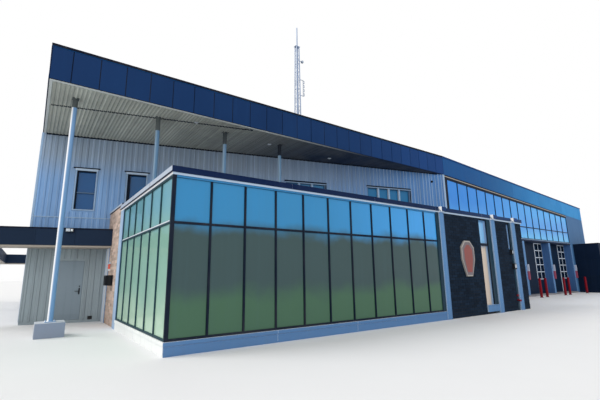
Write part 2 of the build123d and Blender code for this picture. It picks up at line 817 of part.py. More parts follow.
# Outer walls at the left, the right and the back
left_block = slab(
    (
        (ROOF_LEFT, oblique_y(ROOF_LEFT, -WALL_THICKNESS)),
        (inner_left, oblique_y(inner_left, -WALL_THICKNESS)),
        (inner_left, inner_back),
        (ROOF_LEFT, inner_back),
    ),
    0,
    EAVE_HEIGHT,
)
with BuildPart() as left_wall:
    add(left_block.part)
    with BuildSketch(side_plane(ROOF_LEFT)):
        for hole in left_wall_holes:
            rectangle(*hole)
    extrude(amount=WALL_THICKNESS, mode=Mode.SUBTRACT)
keep(left_wall, "left_wall")


def under_eave(left, right, bottom):
    """Outline in X and Z from a level bottom up to the eave line."""
    outline = [(left, bottom), (right, bottom), (right, eave_at(right))]
    if left < kink_x < right:
        outline.append((kink_x, eave_at(kink_x)))
    outline.append((left, eave_at(left)))
    return outline


end_outline = (
    (last_pier_right, 0),
    (roof_right, 0),
    (roof_right, eave_at(roof_right)),
    (bays_right, eave_at(bays_right)),
    (bays_right, HEADER_BOTTOM),
    (last_pier_right, HEADER_BOTTOM),
)
end_wall = sheet(front_plane(FRONT_LINE), end_outline, -WALL_THICKNESS)
keep(end_wall, "end_wall")

right_wall = sheet(
    front_plane(FRONT_LINE + WALL_THICKNESS),
    under_eave(inner_right, roof_right, 0),
    -(inner_back - FRONT_LINE - WALL_THICKNESS),
)
keep(right_wall, "right_wall")


# Doorways of the vehicle bays: each bay has its pier at the left, and one more closes the row
pier_lefts = [bays_left + BAY_WIDTH * i for i in range(BAY_COUNT + 1)]
doorways = [(left + BAY_PIER_WIDTH, left + BAY_WIDTH) for left in pier_lefts[:-1]]
back_openings = [(left, FLOOR_THICKNESS, right, HEADER_BOTTOM) for left, right in doorways]
back_wall = sheet(
    front_plane(inner_back),
    corners(ROOF_LEFT, 0, roof_right, HEADER_TOP),
    -WALL_THICKNESS,
    back_openings,
)
keep(back_wall, "back_wall")

back_wall_upper = sheet(
    front_plane(inner_back),
    under_eave(ROOF_LEFT, roof_right, HEADER_TOP),
    -WALL_THICKNESS,
    back_wall_holes + back_bay_holes,
)
keep(back_wall_upper, "back_wall_upper")

# Piers, header and strip glazing of the vehicle bays
with BuildPart() as bay_piers:
    with BuildSketch(Plane.XY.offset(FLOOR_THICKNESS)):
        for left in pier_lefts:
            rectangle(left, FRONT_LINE, left + BAY_PIER_WIDTH, FRONT_LINE + BAY_RECESS)
    extrude(amount=HEADER_BOTTOM - FLOOR_THICKNESS)
    # jamb between the brick front and the first bay, up to the header
    with BuildSketch(Plane.XY.offset(FLOOR_THICKNESS)):
        rectangle(kink_x, FRONT_LINE, bays_left, FRONT_LINE + WALL_THICKNESS)
    extrude(amount=HEADER_BOTTOM - FLOOR_THICKNESS)
    # and its outer part, which reaches up to the metal wall
    with BuildSketch(Plane.XY.offset(FLOOR_THICKNESS)):
        rectangle(brick_right, FRONT_LINE, kink_x, FRONT_LINE + WALL_THICKNESS)
    extrude(amount=low_slab_top - FLOOR_THICKNESS)
keep(bay_piers, "bay_piers")

# Upright markers at the right edge of each pier's face
with BuildPart() as pier_markers:
    with BuildSketch(front_plane(FRONT_LINE)):
        for left in pier_lefts:
            right = left + BAY_PIER_WIDTH
            rectangle(right - MARKER_WIDTH, MARKER_BOTTOM, right, MARKER_TOP)
    extrude(amount=MARKER_DEPTH)
keep(pier_markers, "pier_markers")

bay_header = slab(
    corners(kink_x, FRONT_LINE, bays_right, FRONT_LINE + BAY_RECESS), HEADER_BOTTOM, HEADER_TOP
)
keep(bay_header, "bay_header")

strip_outline = under_eave(kink_x, bays_right, HEADER_TOP)
strip_lines = [bays_left + panel_width * i for i in range(BAY_COUNT * PANELS_PER_BAY + 1)]


def strip_openings(bar):
    """Lights of the strip glazing, whose heads follow the falling eave."""
    lights = []
    for left, right in zip(strip_lines, strip_lines[1:]):
        u0 = left + bar / 2
        u1 = right - bar / 2
        lights.append(corners(u0, HEADER_TOP + bar, u1, STRIP_TRANSOM - bar / 2))
        lights.append(
            (
                (u0, STRIP_TRANSOM + bar / 2),
                (u1, STRIP_TRANSOM + bar / 2),
                (u1, eave_at(u1) - STRIP_HEAD_BAND),
                (u0, eave_at(u0) - STRIP_HEAD_BAND),
            )
        )
    return lights


def strip_lattice(front, depth, bar):
    """Mullions and transom of the strip glazing as one sheet with its lights cut out."""
    with BuildPart() as lattice:
        with BuildSketch(front_plane(front)):
            Polygon(*strip_outline)
            for light in strip_openings(bar):
                Polygon(*light, mode=Mode.SUBTRACT)
        extrude(amount=-depth)
    return lattice


strip_front = FRONT_LINE + STRIP_SETBACK
strip_caps = strip_lattice(strip_front - CAP_DEPTH, CAP_DEPTH, CAP_WIDTH)
keep(strip_caps, "strip_caps")
strip_glass = sheet(front_plane(strip_front), strip_outline, -GLASS_THICKNESS)
keep(strip_glass, "strip_glass")
strip_mullions = strip_lattice(strip_front + GLASS_THICKNESS, STRIP_MULLION_DEPTH, MULLION_WIDTH)
keep(strip_mullions, "strip_mullions")


# Vehicle doors: dark panels at the left and a glazed grid at the right
def vehicle_door_lights(right):
    """Lights of the glazed part of one vehicle door."""
    left = right - DOOR_COLUMN_WIDTH * DOOR_GLAZED_COLUMNS
    columns = [left + DOOR_COLUMN_WIDTH * i for i in range(DOOR_GLAZED_COLUMNS + 1)]
    columns[0] += DOOR_BAR / 2
    columns[-1] -= DOOR_BAR / 2
    bottom = FLOOR_THICKNESS + DOOR_SOLID_HEIGHT + DOOR_BAR / 2
    row = (HEADER_BOTTOM - DOOR_BAR / 2 - bottom) / DOOR_ROWS
    rows = [bottom + row * i for i in range(DOOR_ROWS + 1)]
    return grid_openings(columns, rows, DOOR_BAR)


door_front = FRONT_LINE + BAY_RECESS - DOOR_THICKNESS - GLASS_THICKNESS
back_door_front = inner_back + GLASS_THICKNESS

with BuildPart() as vehicle_doors:
    for front in (door_front, back_door_front):
        with BuildSketch(front_plane(front)):
            for left, right in doorways:
                rectangle(left, FLOOR_THICKNESS, right, HEADER_BOTTOM)
                for light in vehicle_door_lights(right):
                    rectangle(*light, mode=Mode.SUBTRACT)
        extrude(amount=-DOOR_THICKNESS)
keep(vehicle_doors, "vehicle_doors")

# Glass behind the grids of the vehicle doors, indoors of each door
with BuildPart() as vehicle_door_glass:
    for front in (door_front + DOOR_THICKNESS, inner_back):
        with BuildSketch(front_plane(front)):
            for _, right in doorways:
                lights = vehicle_door_lights(right)
                rectangle(lights[0][0], lights[0][1], lights[-1][2], lights[-1][3])
        extrude(amount=-GLASS_THICKNESS)
keep(vehicle_door_glass, "vehicle_door_glass")

# Low dark block at the right
with BuildPart() as side_block:
    with BuildSketch():
        rectangle(block_left, block_front, block_right, FRONT_LINE)
        rectangle(
            block_left + BLOCK_WALL,
            block_front + BLOCK_WALL,
            block_right - BLOCK_WALL,
            FRONT_LINE,
            mode=Mode.SUBTRACT,
        )
    extrude(amount=BLOCK_HEIGHT - BLOCK_ROOF)
    with BuildSketch(Plane.XY.offset(BLOCK_HEIGHT - BLOCK_ROOF)):
        rectangle(block_left, block_front, block_right, FRONT_LINE)
    extrude(amount=BLOCK_ROOF)
keep(side_block, "side_block")

# Main roof: fascias with their coping, decks, soffit and light trims
coping_low = FASCIA_HEIGHT - COPING_HEIGHT
with BuildPart() as fascia_left:
    with BuildSketch(Plane.XY.offset(EAVE_HEIGHT)):
        rectangle(ROOF_LEFT, FRONT_LINE, kink_x, BACK_LINE)
        rectangle(
            inner_left, FRONT_LINE + FASCIA_THICKNESS, kink_x, inner_back, mode=Mode.SUBTRACT
        )
    extrude(amount=FASCIA_HEIGHT)
    with BuildSketch(Plane.XY.offset(EAVE_HEIGHT + coping_low)):
        rectangle(
            ROOF_LEFT - COPING_PROJECTION,
            FRONT_LINE - COPING_PROJECTION,
            kink_x,
            BACK_LINE + COPING_PROJECTION,
        )
        rectangle(ROOF_LEFT, FRONT_LINE, kink_x, BACK_LINE, mode=Mode.SUBTRACT)
    extrude(amount=COPING_HEIGHT)
keep(fascia_left, "fascia_left")


def right_band(left, right, front, back, low, high):
    """Band of the falling roof between two distances above the eave line."""
    outline = (
        (left, eave_at(left) + low),
        (right, eave_at(right) + low),
        (right, eave_at(right) + high),
        (left, eave_at(left) + high),
    )
    return sheet(front_plane(front), outline, -(back - front))


front_inner = FRONT_LINE + FASCIA_THICKNESS
coping_front = FRONT_LINE - COPING_PROJECTION
coping_back = BACK_LINE + COPING_PROJECTION
coping_right = roof_right + COPING_PROJECTION
bands = (
    right_band(kink_x, roof_right, FRONT_LINE, front_inner, 0, FASCIA_HEIGHT),
    right_band(inner_right, roof_right, front_inner, inner_back, 0, FASCIA_HEIGHT),
    right_band(kink_x, roof_right, inner_back, BACK_LINE, 0, FASCIA_HEIGHT),
    right_band(kink_x, coping_right, coping_front, FRONT_LINE, coping_low, FASCIA_HEIGHT),
    right_band(roof_right, coping_right, FRONT_LINE, BACK_LINE, coping_low, FASCIA_HEIGHT),
    right_band(kink_x, coping_right, BACK_LINE, coping_back, coping_low, FASCIA_HEIGHT),
)
with BuildPart() as fascia_right:
    for band in bands:
        add(band.part)
keep(fascia_right, "fascia_right")

level_deck = slab(
    corners(inner_left, FRONT_LINE + FASCIA_THICKNESS, kink_x, inner_back), deck_bottom, deck_top
)
falling_deck = right_band(
    kink_x,
    inner_right,
    FRONT_LINE + FASCIA_THICKNESS,
    inner_back,
    deck_bottom - EAVE_HEIGHT,
    deck_top - EAVE_HEIGHT,
)
with BuildPart() as roof_deck:
    add(level_deck.part)
    add(falling_deck.part)
keep(roof_deck, "roof_deck")

soffit = slab(
    (
        (inner_left, soffit_front),
        (soffit_tip, soffit_front),
        (inner_left, oblique_y(inner_left)),
    ),
    EAVE_HEIGHT,
    EAVE_HEIGHT + SOFFIT_THICKNESS,
)
keep(soffit, "soffit")

# Light trim under the fascia's front and left edge and over the strip glazing
trim_front = FRONT_LINE + EAVE_TRIM_INSET
trim_back = trim_front + EAVE_TRIM_WIDTH
trim_left = ROOF_LEFT + EAVE_TRIM_INSET
trim_inner = trim_left + EAVE_TRIM_WIDTH
under_trim = slab(
    (
        (trim_left, trim_front),
        (kink_x - EAVE_TRIM_INSET / slope, trim_front),
        (kink_x - (EAVE_TRIM_INSET + EAVE_TRIM_WIDTH) / slope, trim_back),
        (trim_inner, trim_back),
        (trim_inner, oblique_y(trim_inner)),
        (trim_left, oblique_y(trim_left)),
    ),
    EAVE_HEIGHT - EAVE_TRIM_HEIGHT,
    EAVE_HEIGHT,
)
head_trim = right_band(
    kink_x,
    bays_right,
    FRONT_LINE,
    strip_front - CAP_DEPTH,
    -HEAD_TRIM_DROP - HEAD_TRIM_HEIGHT,
    -HEAD_TRIM_DROP,
)
with BuildPart() as eave_trim:
    add(under_trim.part)
    add(head_trim.part)
keep(eave_trim, "eave_trim")

# Round columns: the first stands on its pier, the rest on the floor and again on the low roof
with BuildPart() as columns:
    for i in range(COLUMN_COUNT):
        x = FIRST_COLUMN_X + COLUMN_SPACING * i
        if i == 0:
            runs = ((PIER_HEIGHT, EAVE_HEIGHT),)
        else:
            runs = ((FLOOR_THICKNESS, GLASS_TOP), (low_slab_top, EAVE_HEIGHT))
        for bottom, top in runs:
            with BuildSketch(Plane.XY.offset(bottom)):
                with Locations((x, COLUMN_LINE)):
                    Circle(COLUMN_DIAMETER / 2)
            extrude(amount=top - bottom)
keep(columns, "columns")

half_pier = PIER_SIZE / 2
column_pier = slab(
    corners(
        FIRST_COLUMN_X - half_pier,
        COLUMN_LINE - half_pier,
        FIRST_COLUMN_X + half_pier,
        COLUMN_LINE + half_pier,
    ),
    0,
    PIER_HEIGHT,
)
keep(column_pier, "column_pier")

# Service door with its frame, leaf and handle
with BuildPart() as door_frame:
    with BuildSketch(oblique_plane()):
        rectangle(door_start, 0, door_end, DOOR_OPENING_TOP)
        rectangle(
            door_start + DOOR_FRAME_WIDTH,
            DOOR_SILL,
            door_end - DOOR_FRAME_WIDTH,
            DOOR_OPENING_TOP - DOOR_FRAME_WIDTH,
            mode=Mode.SUBTRACT,
        )
    extrude(amount=-DOOR_FRAME_DEPTH)
keep(door_frame, "door_frame")

leaf_left = door_start + DOOR_FRAME_WIDTH + LEAF_CLEARANCE
leaf_right = door_end - DOOR_FRAME_WIDTH - LEAF_CLEARANCE
leaf_top = DOOR_OPENING_TOP - DOOR_FRAME_WIDTH - LEAF_CLEARANCE
door_leaf = sheet(
    oblique_plane(LEAF_PROUD),
    corners(leaf_left, DOOR_SILL + LEAF_CLEARANCE, leaf_right, leaf_top),
    -LEAF_THICKNESS,
)
keep(door_leaf, "door_leaf")

hinge_axis = door_start + DOOR_FRAME_WIDTH


def hinge_halves(face, side, from_height):
    """Half hinges at all heights: a barrel on the hinge axis and a plate on the given face."""
    axis_point = oblique_point(hinge_axis, HINGE_STANDOFF)
    with BuildPart() as halves:
        for height in HINGE_HEIGHTS:
            low = height + from_height
            with BuildSketch(Plane.XY.offset(low)):
                with Locations(axis_point):
                    Circle(HINGE_RADIUS)
                Polygon(
                    oblique_point(hinge_axis, face),
                    oblique_point(hinge_axis + side * HINGE_PLATE_WIDTH, face),
                    oblique_point(hinge_axis + side * HINGE_PLATE_WIDTH, face + HINGE_PLATE),
                    oblique_point(hinge_axis, HINGE_STANDOFF),
                )
            extrude(amount=HINGE_KNUCKLE)
    return halves


frame_hinges = hinge_halves(0.0, -1, -HINGE_KNUCKLE - HINGE_GAP)
keep(frame_hinges, "frame_hinges")
leaf_hinges = hinge_halves(LEAF_PROUD, 1, 0.0)
keep(leaf_hinges, "leaf_hinges")

# Handle: a plate, a spindle and a lever that points towards the hinges
handle_at = leaf_right - HANDLE_INSET
plate_face = LEAF_PROUD + HANDLE_PLATE_THICKNESS
with BuildPart() as door_handle:
    with BuildSketch(oblique_plane(LEAF_PROUD)):
        with Locations((handle_at, HANDLE_HEIGHT)):
            Rectangle(HANDLE_PLATE_WIDTH, HANDLE_PLATE_HEIGHT)
    extrude(amount=HANDLE_PLATE_THICKNESS)
    with BuildSketch(oblique_plane(plate_face)):
        with Locations((handle_at, HANDLE_HEIGHT)):
            Circle(LEVER_THICKNESS / 2)
    extrude(amount=LEVER_STANDOFF)
    with BuildSketch(oblique_plane(plate_face + LEVER_STANDOFF)):
        with Locations((handle_at + LEVER_THICKNESS / 2, HANDLE_HEIGHT)):
            Rectangle(LEVER_LENGTH, LEVER_THICKNESS, align=(Align.MAX, Align.CENTER))
    extrude(amount=LEVER_THICKNESS)
keep(door_handle, "door_handle")

# Low canopy: a roofed strip along the metal wall, then round an open court at the left, with
# a light trim under it that is set back from its edges
canopy_outline = (
    (0, oblique_y(0, CANOPY_WIDTH)),
    (CANOPY_LEFT, oblique_y(CANOPY_LEFT, CANOPY_WIDTH)),
    (CANOPY_LEFT, BACK_LINE),
    (ROOF_LEFT, BACK_LINE),
    (ROOF_LEFT, BACK_LINE - CANOPY_WIDTH),
    (CANOPY_LEFT + CANOPY_WIDTH, BACK_LINE - CANOPY_WIDTH),
    (CANOPY_LEFT + CANOPY_WIDTH, oblique_y(CANOPY_LEFT + CANOPY_WIDTH)),
    (ROOF_LEFT, oblique_y(ROOF_LEFT)),
    (0, oblique_y(0)),
)
canopy = slab(canopy_outline, CANOPY_BOTTOM, CANOPY_BOTTOM + CANOPY_HEIGHT)
keep(canopy, "canopy")

canopy_trim_bottom = CANOPY_BOTTOM - CANOPY_TRIM_HEIGHT
with BuildPart() as canopy_trim:
    with BuildSketch(Plane.XY.offset(canopy_trim_bottom)):
        Polygon(*canopy_outline)
        offset(amount=-CANOPY_TRIM_INSET, kind=Kind.INTERSECTION, mode=Mode.REPLACE)
    extrude(amount=CANOPY_TRIM_HEIGHT)
keep(canopy_trim, "canopy_trim")

post_centre = CANOPY_LEFT + CANOPY_WIDTH / 2
with BuildPart() as canopy_posts:
    with BuildSketch():
        with Locations(
            (post_centre, oblique_y(post_centre, CANOPY_WIDTH / 2)),
            (post_centre, (oblique_y(post_centre) + BACK_LINE) / 2),
            (post_centre, BACK_LINE - CANOPY_WIDTH / 2),
        ):
            Rectangle(CANOPY_POST_SIZE, CANOPY_POST_SIZE)
    extrude(amount=canopy_trim_bottom)
keep(canopy_posts, "canopy_posts")


# Lattice mast on the roof: the legs taper, and each side has a zigzag of braces between them.
# It ends at the pole's foot, and its bays are equal and no higher than the given height.
mast_head = MAST_TOP - MAST_POLE_LENGTH
mast_height = mast_head - deck_top
mast_bays = math.ceil(mast_height / MAST_BAY_HEIGHT)
mast_bay = mast_height / mast_bays
mast_foot = Vector(MAST_X, MAST_Y, deck_top)
foot_reach = (MAST_FOOT_WIDTH - MAST_LEG) / 2
head_reach = (MAST_HEAD_WIDTH - MAST_LEG) / 2
mast_lean = math.atan((foot_reach - head_reach) / mast_height)
upright = Vector(0, 0, 1)


def reach_at(height):
    """Half the distance between the legs' centres at a height over the mast's foot."""
    return foot_reach + (head_reach - foot_reach) * height / mast_height


with BuildPart() as mast:
    for side_x, side_y in ((-1, -1), (1, -1), (1, 1), (-1, 1)):
        for height in (0, mast_height):
            with BuildSketch(Plane(mast_foot).offset(height)):
                with Locations((side_x * reach_at(height), side_y * reach_at(height))):
                    Rectangle(MAST_LEG, MAST_LEG)
        loft()
    for turn in (0, 90, 180, 270):
        facing = Vector(0, -1, 0).rotate(Axis.Z, turn)
        leaning = facing * math.cos(mast_lean) + upright * math.sin(mast_lean)
        corner = mast_foot + facing * foot_reach
        with BuildSketch(Plane(origin=corner, x_dir=upright.cross(facing), z_dir=leaning)):
            for i in range(mast_bays):
                low = i * mast_bay
                high = low + mast_bay
                zig = 1 if i % 2 else -1
                Polygon(
                    (-zig * reach_at(low), low),
                    (-zig * reach_at(low), low + MAST_BRACE),
                    (zig * reach_at(high), high),
                    (zig * reach_at(high), high - MAST_BRACE),
                )
                rectangle(-reach_at(high), high - MAST_BRACE, reach_at(high), high)
        extrude(amount=MAST_BRACE_THICKNESS / 2, both=True)
keep(mast, "mast")

# Head plate and pole of the mast
plate_top = mast_head + MAST_PLATE_THICKNESS
with BuildPart() as mast_pole:
    with BuildSketch(Plane.XY.offset(mast_head)):
        with Locations((MAST_X, MAST_Y)):
            Rectangle(MAST_HEAD_WIDTH + 2 * MAST_PLATE_OVERHANG, MAST_HEAD_WIDTH)
    extrude(amount=MAST_PLATE_THICKNESS)
    with BuildSketch(Plane.XY.offset(plate_top)):
        with Locations((MAST_X, MAST_Y)):
            Circle(MAST_POLE_DIAMETER / 2)
    extrude(amount=MAST_TOP - plate_top)
keep(mast_pole, "mast_pole")


# Antennas on the mast's right legs: a row of loops on a rod, and a small radio on an arm
def leg_face(height):
    """X of the right legs' outer face under a rod that is centred on the height."""
    return MAST_X + reach_at(height - ARRAY_ROD / 2 - deck_top) + MAST_LEG / 2


array_bottom = mast_head - ARRAY_DROP
array_top = array_bottom + ARRAY_LOOPS * ARRAY_LOOP_SPACING
array_x = leg_face(array_bottom) + ARRAY_STANDOFF
arm_levels = (array_bottom + ARRAY_ROD, array_top - ARRAY_ROD)
radio_height = mast_head - RADIO_DROP
with BuildPart() as mast_antennas:
    with BuildSketch(front_plane(MAST_Y - reach_at(array_bottom - deck_top) - ARRAY_ROD / 2)):
        rectangle(array_x, array_bottom, array_x + ARRAY_ROD, array_top)
        for level in arm_levels:
            rectangle(leg_face(level), level - ARRAY_ROD / 2, array_x, level + ARRAY_ROD / 2)
        for i in range(ARRAY_LOOPS):
            low = array_bottom + ARRAY_LOOP_SPACING * (i + 0.5) - ARRAY_LOOP_HEIGHT / 2
            left = array_x + ARRAY_ROD
            rectangle(left, low, left + ARRAY_LOOP_WIDTH, low + ARRAY_LOOP_HEIGHT)
            rectangle(
                left,
                low + ARRAY_ROD,
                left + ARRAY_LOOP_WIDTH - ARRAY_ROD,
                low + ARRAY_LOOP_HEIGHT - ARRAY_ROD,
                mode=Mode.SUBTRACT,
            )
    extrude(amount=-ARRAY_ROD)
    radio_left = leg_face(radio_height) + RADIO_STANDOFF
    radio_y = MAST_Y - reach_at(radio_height - deck_top)
    with Locations((leg_face(radio_height), radio_y, radio_height)):
        Box(RADIO_STANDOFF, ARRAY_ROD, ARRAY_ROD, align=(Align.MIN, Align.CENTER, Align.CENTER))
    with Locations((radio_left, radio_y, radio_height)):
        Box(RADIO_SIZE, RADIO_SIZE, RADIO_SIZE, align=(Align.MIN, Align.CENTER, Align.CENTER))
keep(mast_antennas, "mast_antennas")

# Fittings: wall lamps, a camera, downlights, a floodlight, and a box and a strobe on the stub wall
wide_lamp_left = third_post_start - WIDE_LAMP_WIDTH
lamp_left = (slot_window[0] + slot_window[2] - LAMP_WIDTH) / 2
lamp_top = SLOT_WINDOW_BOTTOM - LAMP_DROP
flood_start = stub_distance - FLOODLIGHT_STUB_GAP
flood_top = CANOPY_BOTTOM + CANOPY_HEIGHT - FLOODLIGHT_DROP
stub_front = stub_start + STUB_RECESS_WIDTH
with BuildPart() as fittings:
    with BuildSketch(front_plane(0)):
        rectangle(lamp_left, lamp_top - LAMP_HEIGHT, lamp_left + LAMP_WIDTH, lamp_top)
        rectangle(
            wide_lamp_left,
            WIDE_LAMP_BOTTOM,
            third_post_start,
            WIDE_LAMP_BOTTOM + WIDE_LAMP_HEIGHT,
        )
    extrude(amount=LAMP_DEPTH)
    with BuildSketch(oblique_plane()):
        with Locations((-CAMERA_KINK_GAP, CAMERA_HEIGHT)):
            Circle(CAMERA_RADIUS)
    extrude(amount=CAMERA_RADIUS)
    with BuildSketch(Plane.XY.offset(EAVE_HEIGHT)):
        with Locations(*DOWNLIGHT_PLACES):
            Circle(DOWNLIGHT_DIAMETER / 2)
    extrude(amount=-DOWNLIGHT_THICKNESS)
    with BuildSketch(oblique_plane(CANOPY_WIDTH)):
        rectangle(
            flood_start - FLOODLIGHT_WIDTH,
            flood_top - FLOODLIGHT_HEIGHT,
            flood_start,
            flood_top,
        )
    extrude(amount=FLOODLIGHT_DEPTH)
    with BuildSketch(side_plane(0)):
        box_start = stub_front + STUB_BOX_START
        rectangle(
            box_start,
            STUB_BOX_BOTTOM,
            box_start + STUB_BOX_WIDTH,
            STUB_BOX_BOTTOM + STUB_BOX_HEIGHT,
        )
    extrude(amount=-STUB_BOX_DEPTH)
    with BuildSketch(side_plane(0)):
        strobe_start = stub_front + STROBE_START
        rectangle(
            strobe_start,
            STROBE_BOTTOM,
            strobe_start + STROBE_WIDTH,
            STROBE_BOTTOM + STROBE_HEIGHT,
        )
    extrude(amount=-STROBE_DEPTH)
keep(fittings, "fittings")

# Bollards before the vehicle doors
with BuildPart() as bollards:
    with BuildSketch():
        with Locations(*[(bays_left + place, BOLLARD_LINE) for place in BOLLARD_PLACES]):
            Circle(BOLLARD_DIAMETER / 2)
    extrude(amount=BOLLARD_HEIGHT)
keep(bollards, "bollards")
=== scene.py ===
"""Dresses the fire station: its glazed pavilion, brick front, metal walls, roof and doors.

Metres. X runs to the right along the front, Y runs back into the building and Z is up.
"""

import json
import logging
import math
import random
from dataclasses import dataclass, field
from enum import Enum
from typing import Callable, ClassVar, Iterable, Sequence

import bpy
from mathutils import Matrix, Vector

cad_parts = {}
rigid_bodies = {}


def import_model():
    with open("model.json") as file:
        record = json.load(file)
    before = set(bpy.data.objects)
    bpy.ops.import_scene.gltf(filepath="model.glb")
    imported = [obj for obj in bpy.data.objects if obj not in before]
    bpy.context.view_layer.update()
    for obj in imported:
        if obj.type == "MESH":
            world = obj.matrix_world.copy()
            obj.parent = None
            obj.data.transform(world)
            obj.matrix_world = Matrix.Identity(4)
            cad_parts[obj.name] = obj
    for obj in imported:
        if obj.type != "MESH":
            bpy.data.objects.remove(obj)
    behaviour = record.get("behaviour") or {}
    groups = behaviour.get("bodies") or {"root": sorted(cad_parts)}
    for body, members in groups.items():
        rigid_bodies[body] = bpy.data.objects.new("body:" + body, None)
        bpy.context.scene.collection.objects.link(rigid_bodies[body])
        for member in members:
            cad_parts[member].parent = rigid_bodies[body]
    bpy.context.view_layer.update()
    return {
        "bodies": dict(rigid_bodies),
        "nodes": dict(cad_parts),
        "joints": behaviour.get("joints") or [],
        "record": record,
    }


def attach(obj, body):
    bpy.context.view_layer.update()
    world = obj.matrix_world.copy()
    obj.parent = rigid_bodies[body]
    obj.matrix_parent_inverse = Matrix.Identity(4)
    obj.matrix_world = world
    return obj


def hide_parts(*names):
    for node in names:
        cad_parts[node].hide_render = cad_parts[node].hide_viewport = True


LOG = logging.getLogger("fire_station")

BUILDING = "building"
SERVICE_DOOR = "service_door"

Colour = tuple[float, float, float]
Span = tuple[float, float]
Hole = tuple[float, float, float, float]
Value = bpy.types.NodeSocket | float | Colour


def paint(red: int, green: int, blue: int) -> Colour:
    """Linear colour of a display colour given in steps of 0 to 255."""
    return tuple(
        part / 12.92 if part <= 0.04045 else ((part + 0.055) / 1.055) ** 2.4
        for part in (red / 255, green / 255, blue / 255)
    )


# Shader node groups that several finishes share


class Sheet:
    """A node tree in the making, with short ways to add nodes and join them."""

    def __init__(self, tree: bpy.types.NodeTree) -> None:
        """Starts with an empty tree."""
        self.tree = tree
        tree.nodes.clear()

    def add(
        self, kind: str, inputs: dict[str | int, Value] | None = None, **settings: object
    ) -> bpy.types.Node:
        """Adds a node.

        Args:
            kind: Blender's name of the node type.
            inputs: values or sockets, by input name or number.
            settings: properties of the node, set before its inputs.

        Returns:
            The new node.
        """
        node = self.tree.nodes.new(kind)
        for name, value in settings.items():
            setattr(node, name, value)
        for name, value in (inputs or {}).items():
            self.feed(node.inputs[name], value)
        return node

    def feed(self, socket: bpy.types.NodeSocket, value: Value) -> None:
        """Links a socket to another one, or sets its own value."""
        if isinstance(value, bpy.types.NodeSocket):
            self.tree.links.new(value, socket)
        elif isinstance(value, tuple) and len(value) == 3 and socket.type == "RGBA":
            socket.default_value = (*value, 1.0)
        else:
            socket.default_value = value

    def math(self, operation: str, *values: Value) -> bpy.types.NodeSocket:
        """Result of a math node on numbers or sockets."""
        return self.add("ShaderNodeMath", dict(enumerate(values)), operation=operation).outputs[0]

    def mix(
        self, factor: Value, first: Value, second: Value, blend: str = "MIX"
    ) -> bpy.types.NodeSocket:
        """Mix of two colours."""
        node = self.add("ShaderNodeMix", data_type="RGBA", blend_type=blend)
        for name, value in (("Factor", factor), ("A", first), ("B", second)):
            kind = "VALUE" if name == "Factor" else "RGBA"
            socket = next(s for s in node.inputs if s.name == name and s.type == kind)
            self.feed(socket, value)
        return next(s for s in node.outputs if s.type == "RGBA")

    def ramp(self, value: Value, low: Value, high: Value) -> bpy.types.NodeSocket:
        """Smooth 0 to 1 as a value goes from low to high."""
        inputs = {"Value": value, "From Min": low, "From Max": high}
        return self.add("ShaderNodeMapRange", inputs, interpolation_type="SMOOTHSTEP").outputs[0]

    def place(self) -> bpy.types.NodeSocket:
        """Place on the object."""
        return self.add("ShaderNodeTexCoord").outputs["Object"]

    def along(self, place: bpy.types.NodeSocket, axis: str) -> bpy.types.NodeSocket:
        """Distance along an axis."""
        return self.add("ShaderNodeSeparateXYZ", {0: place}).outputs[axis]

    def noise(
        self, vector: bpy.types.NodeSocket, scale: Value, detail: float = 3.0
    ) -> bpy.types.NodeSocket:
        """Noise value between 0 and 1."""
        inputs = {"Vector": vector, "Scale": scale, "Detail": detail}
        return self.add("ShaderNodeTexNoise", inputs).outputs[0]


def new_group(
    name: str, inputs: dict[str, float | Colour], outputs: Sequence[str]
) -> tuple[Sheet, bpy.types.NodeOutputs, bpy.types.NodeInputs]:
    """Starts a shader node group.

    Args:
        name: the group's name.
        inputs: default of each input, by name.
        outputs: name of each output. "Colour" is a colour and the others are values.

    Returns:
        The sheet to build on, the sockets that bring the inputs and those that take the outputs.
    """
    tree = bpy.data.node_groups.new(name, "ShaderNodeTree")

    def socket(label: str, way: str, colour: bool) -> bpy.types.NodeTreeInterfaceSocket:
        """Adds a socket to the group."""
        kind = "NodeSocketColor" if colour else "NodeSocketFloat"
        return tree.interface.new_socket(label, in_out=way, socket_type=kind)

    for label, default in inputs.items():
        colour = isinstance(default, tuple)
        socket(label, "INPUT", colour).default_value = (*default, 1.0) if colour else default
    for label in outputs:
        socket(label, "OUTPUT", label == "Colour")
    sheet = Sheet(tree)
    return sheet, sheet.add("NodeGroupInput").outputs, sheet.add("NodeGroupOutput").inputs


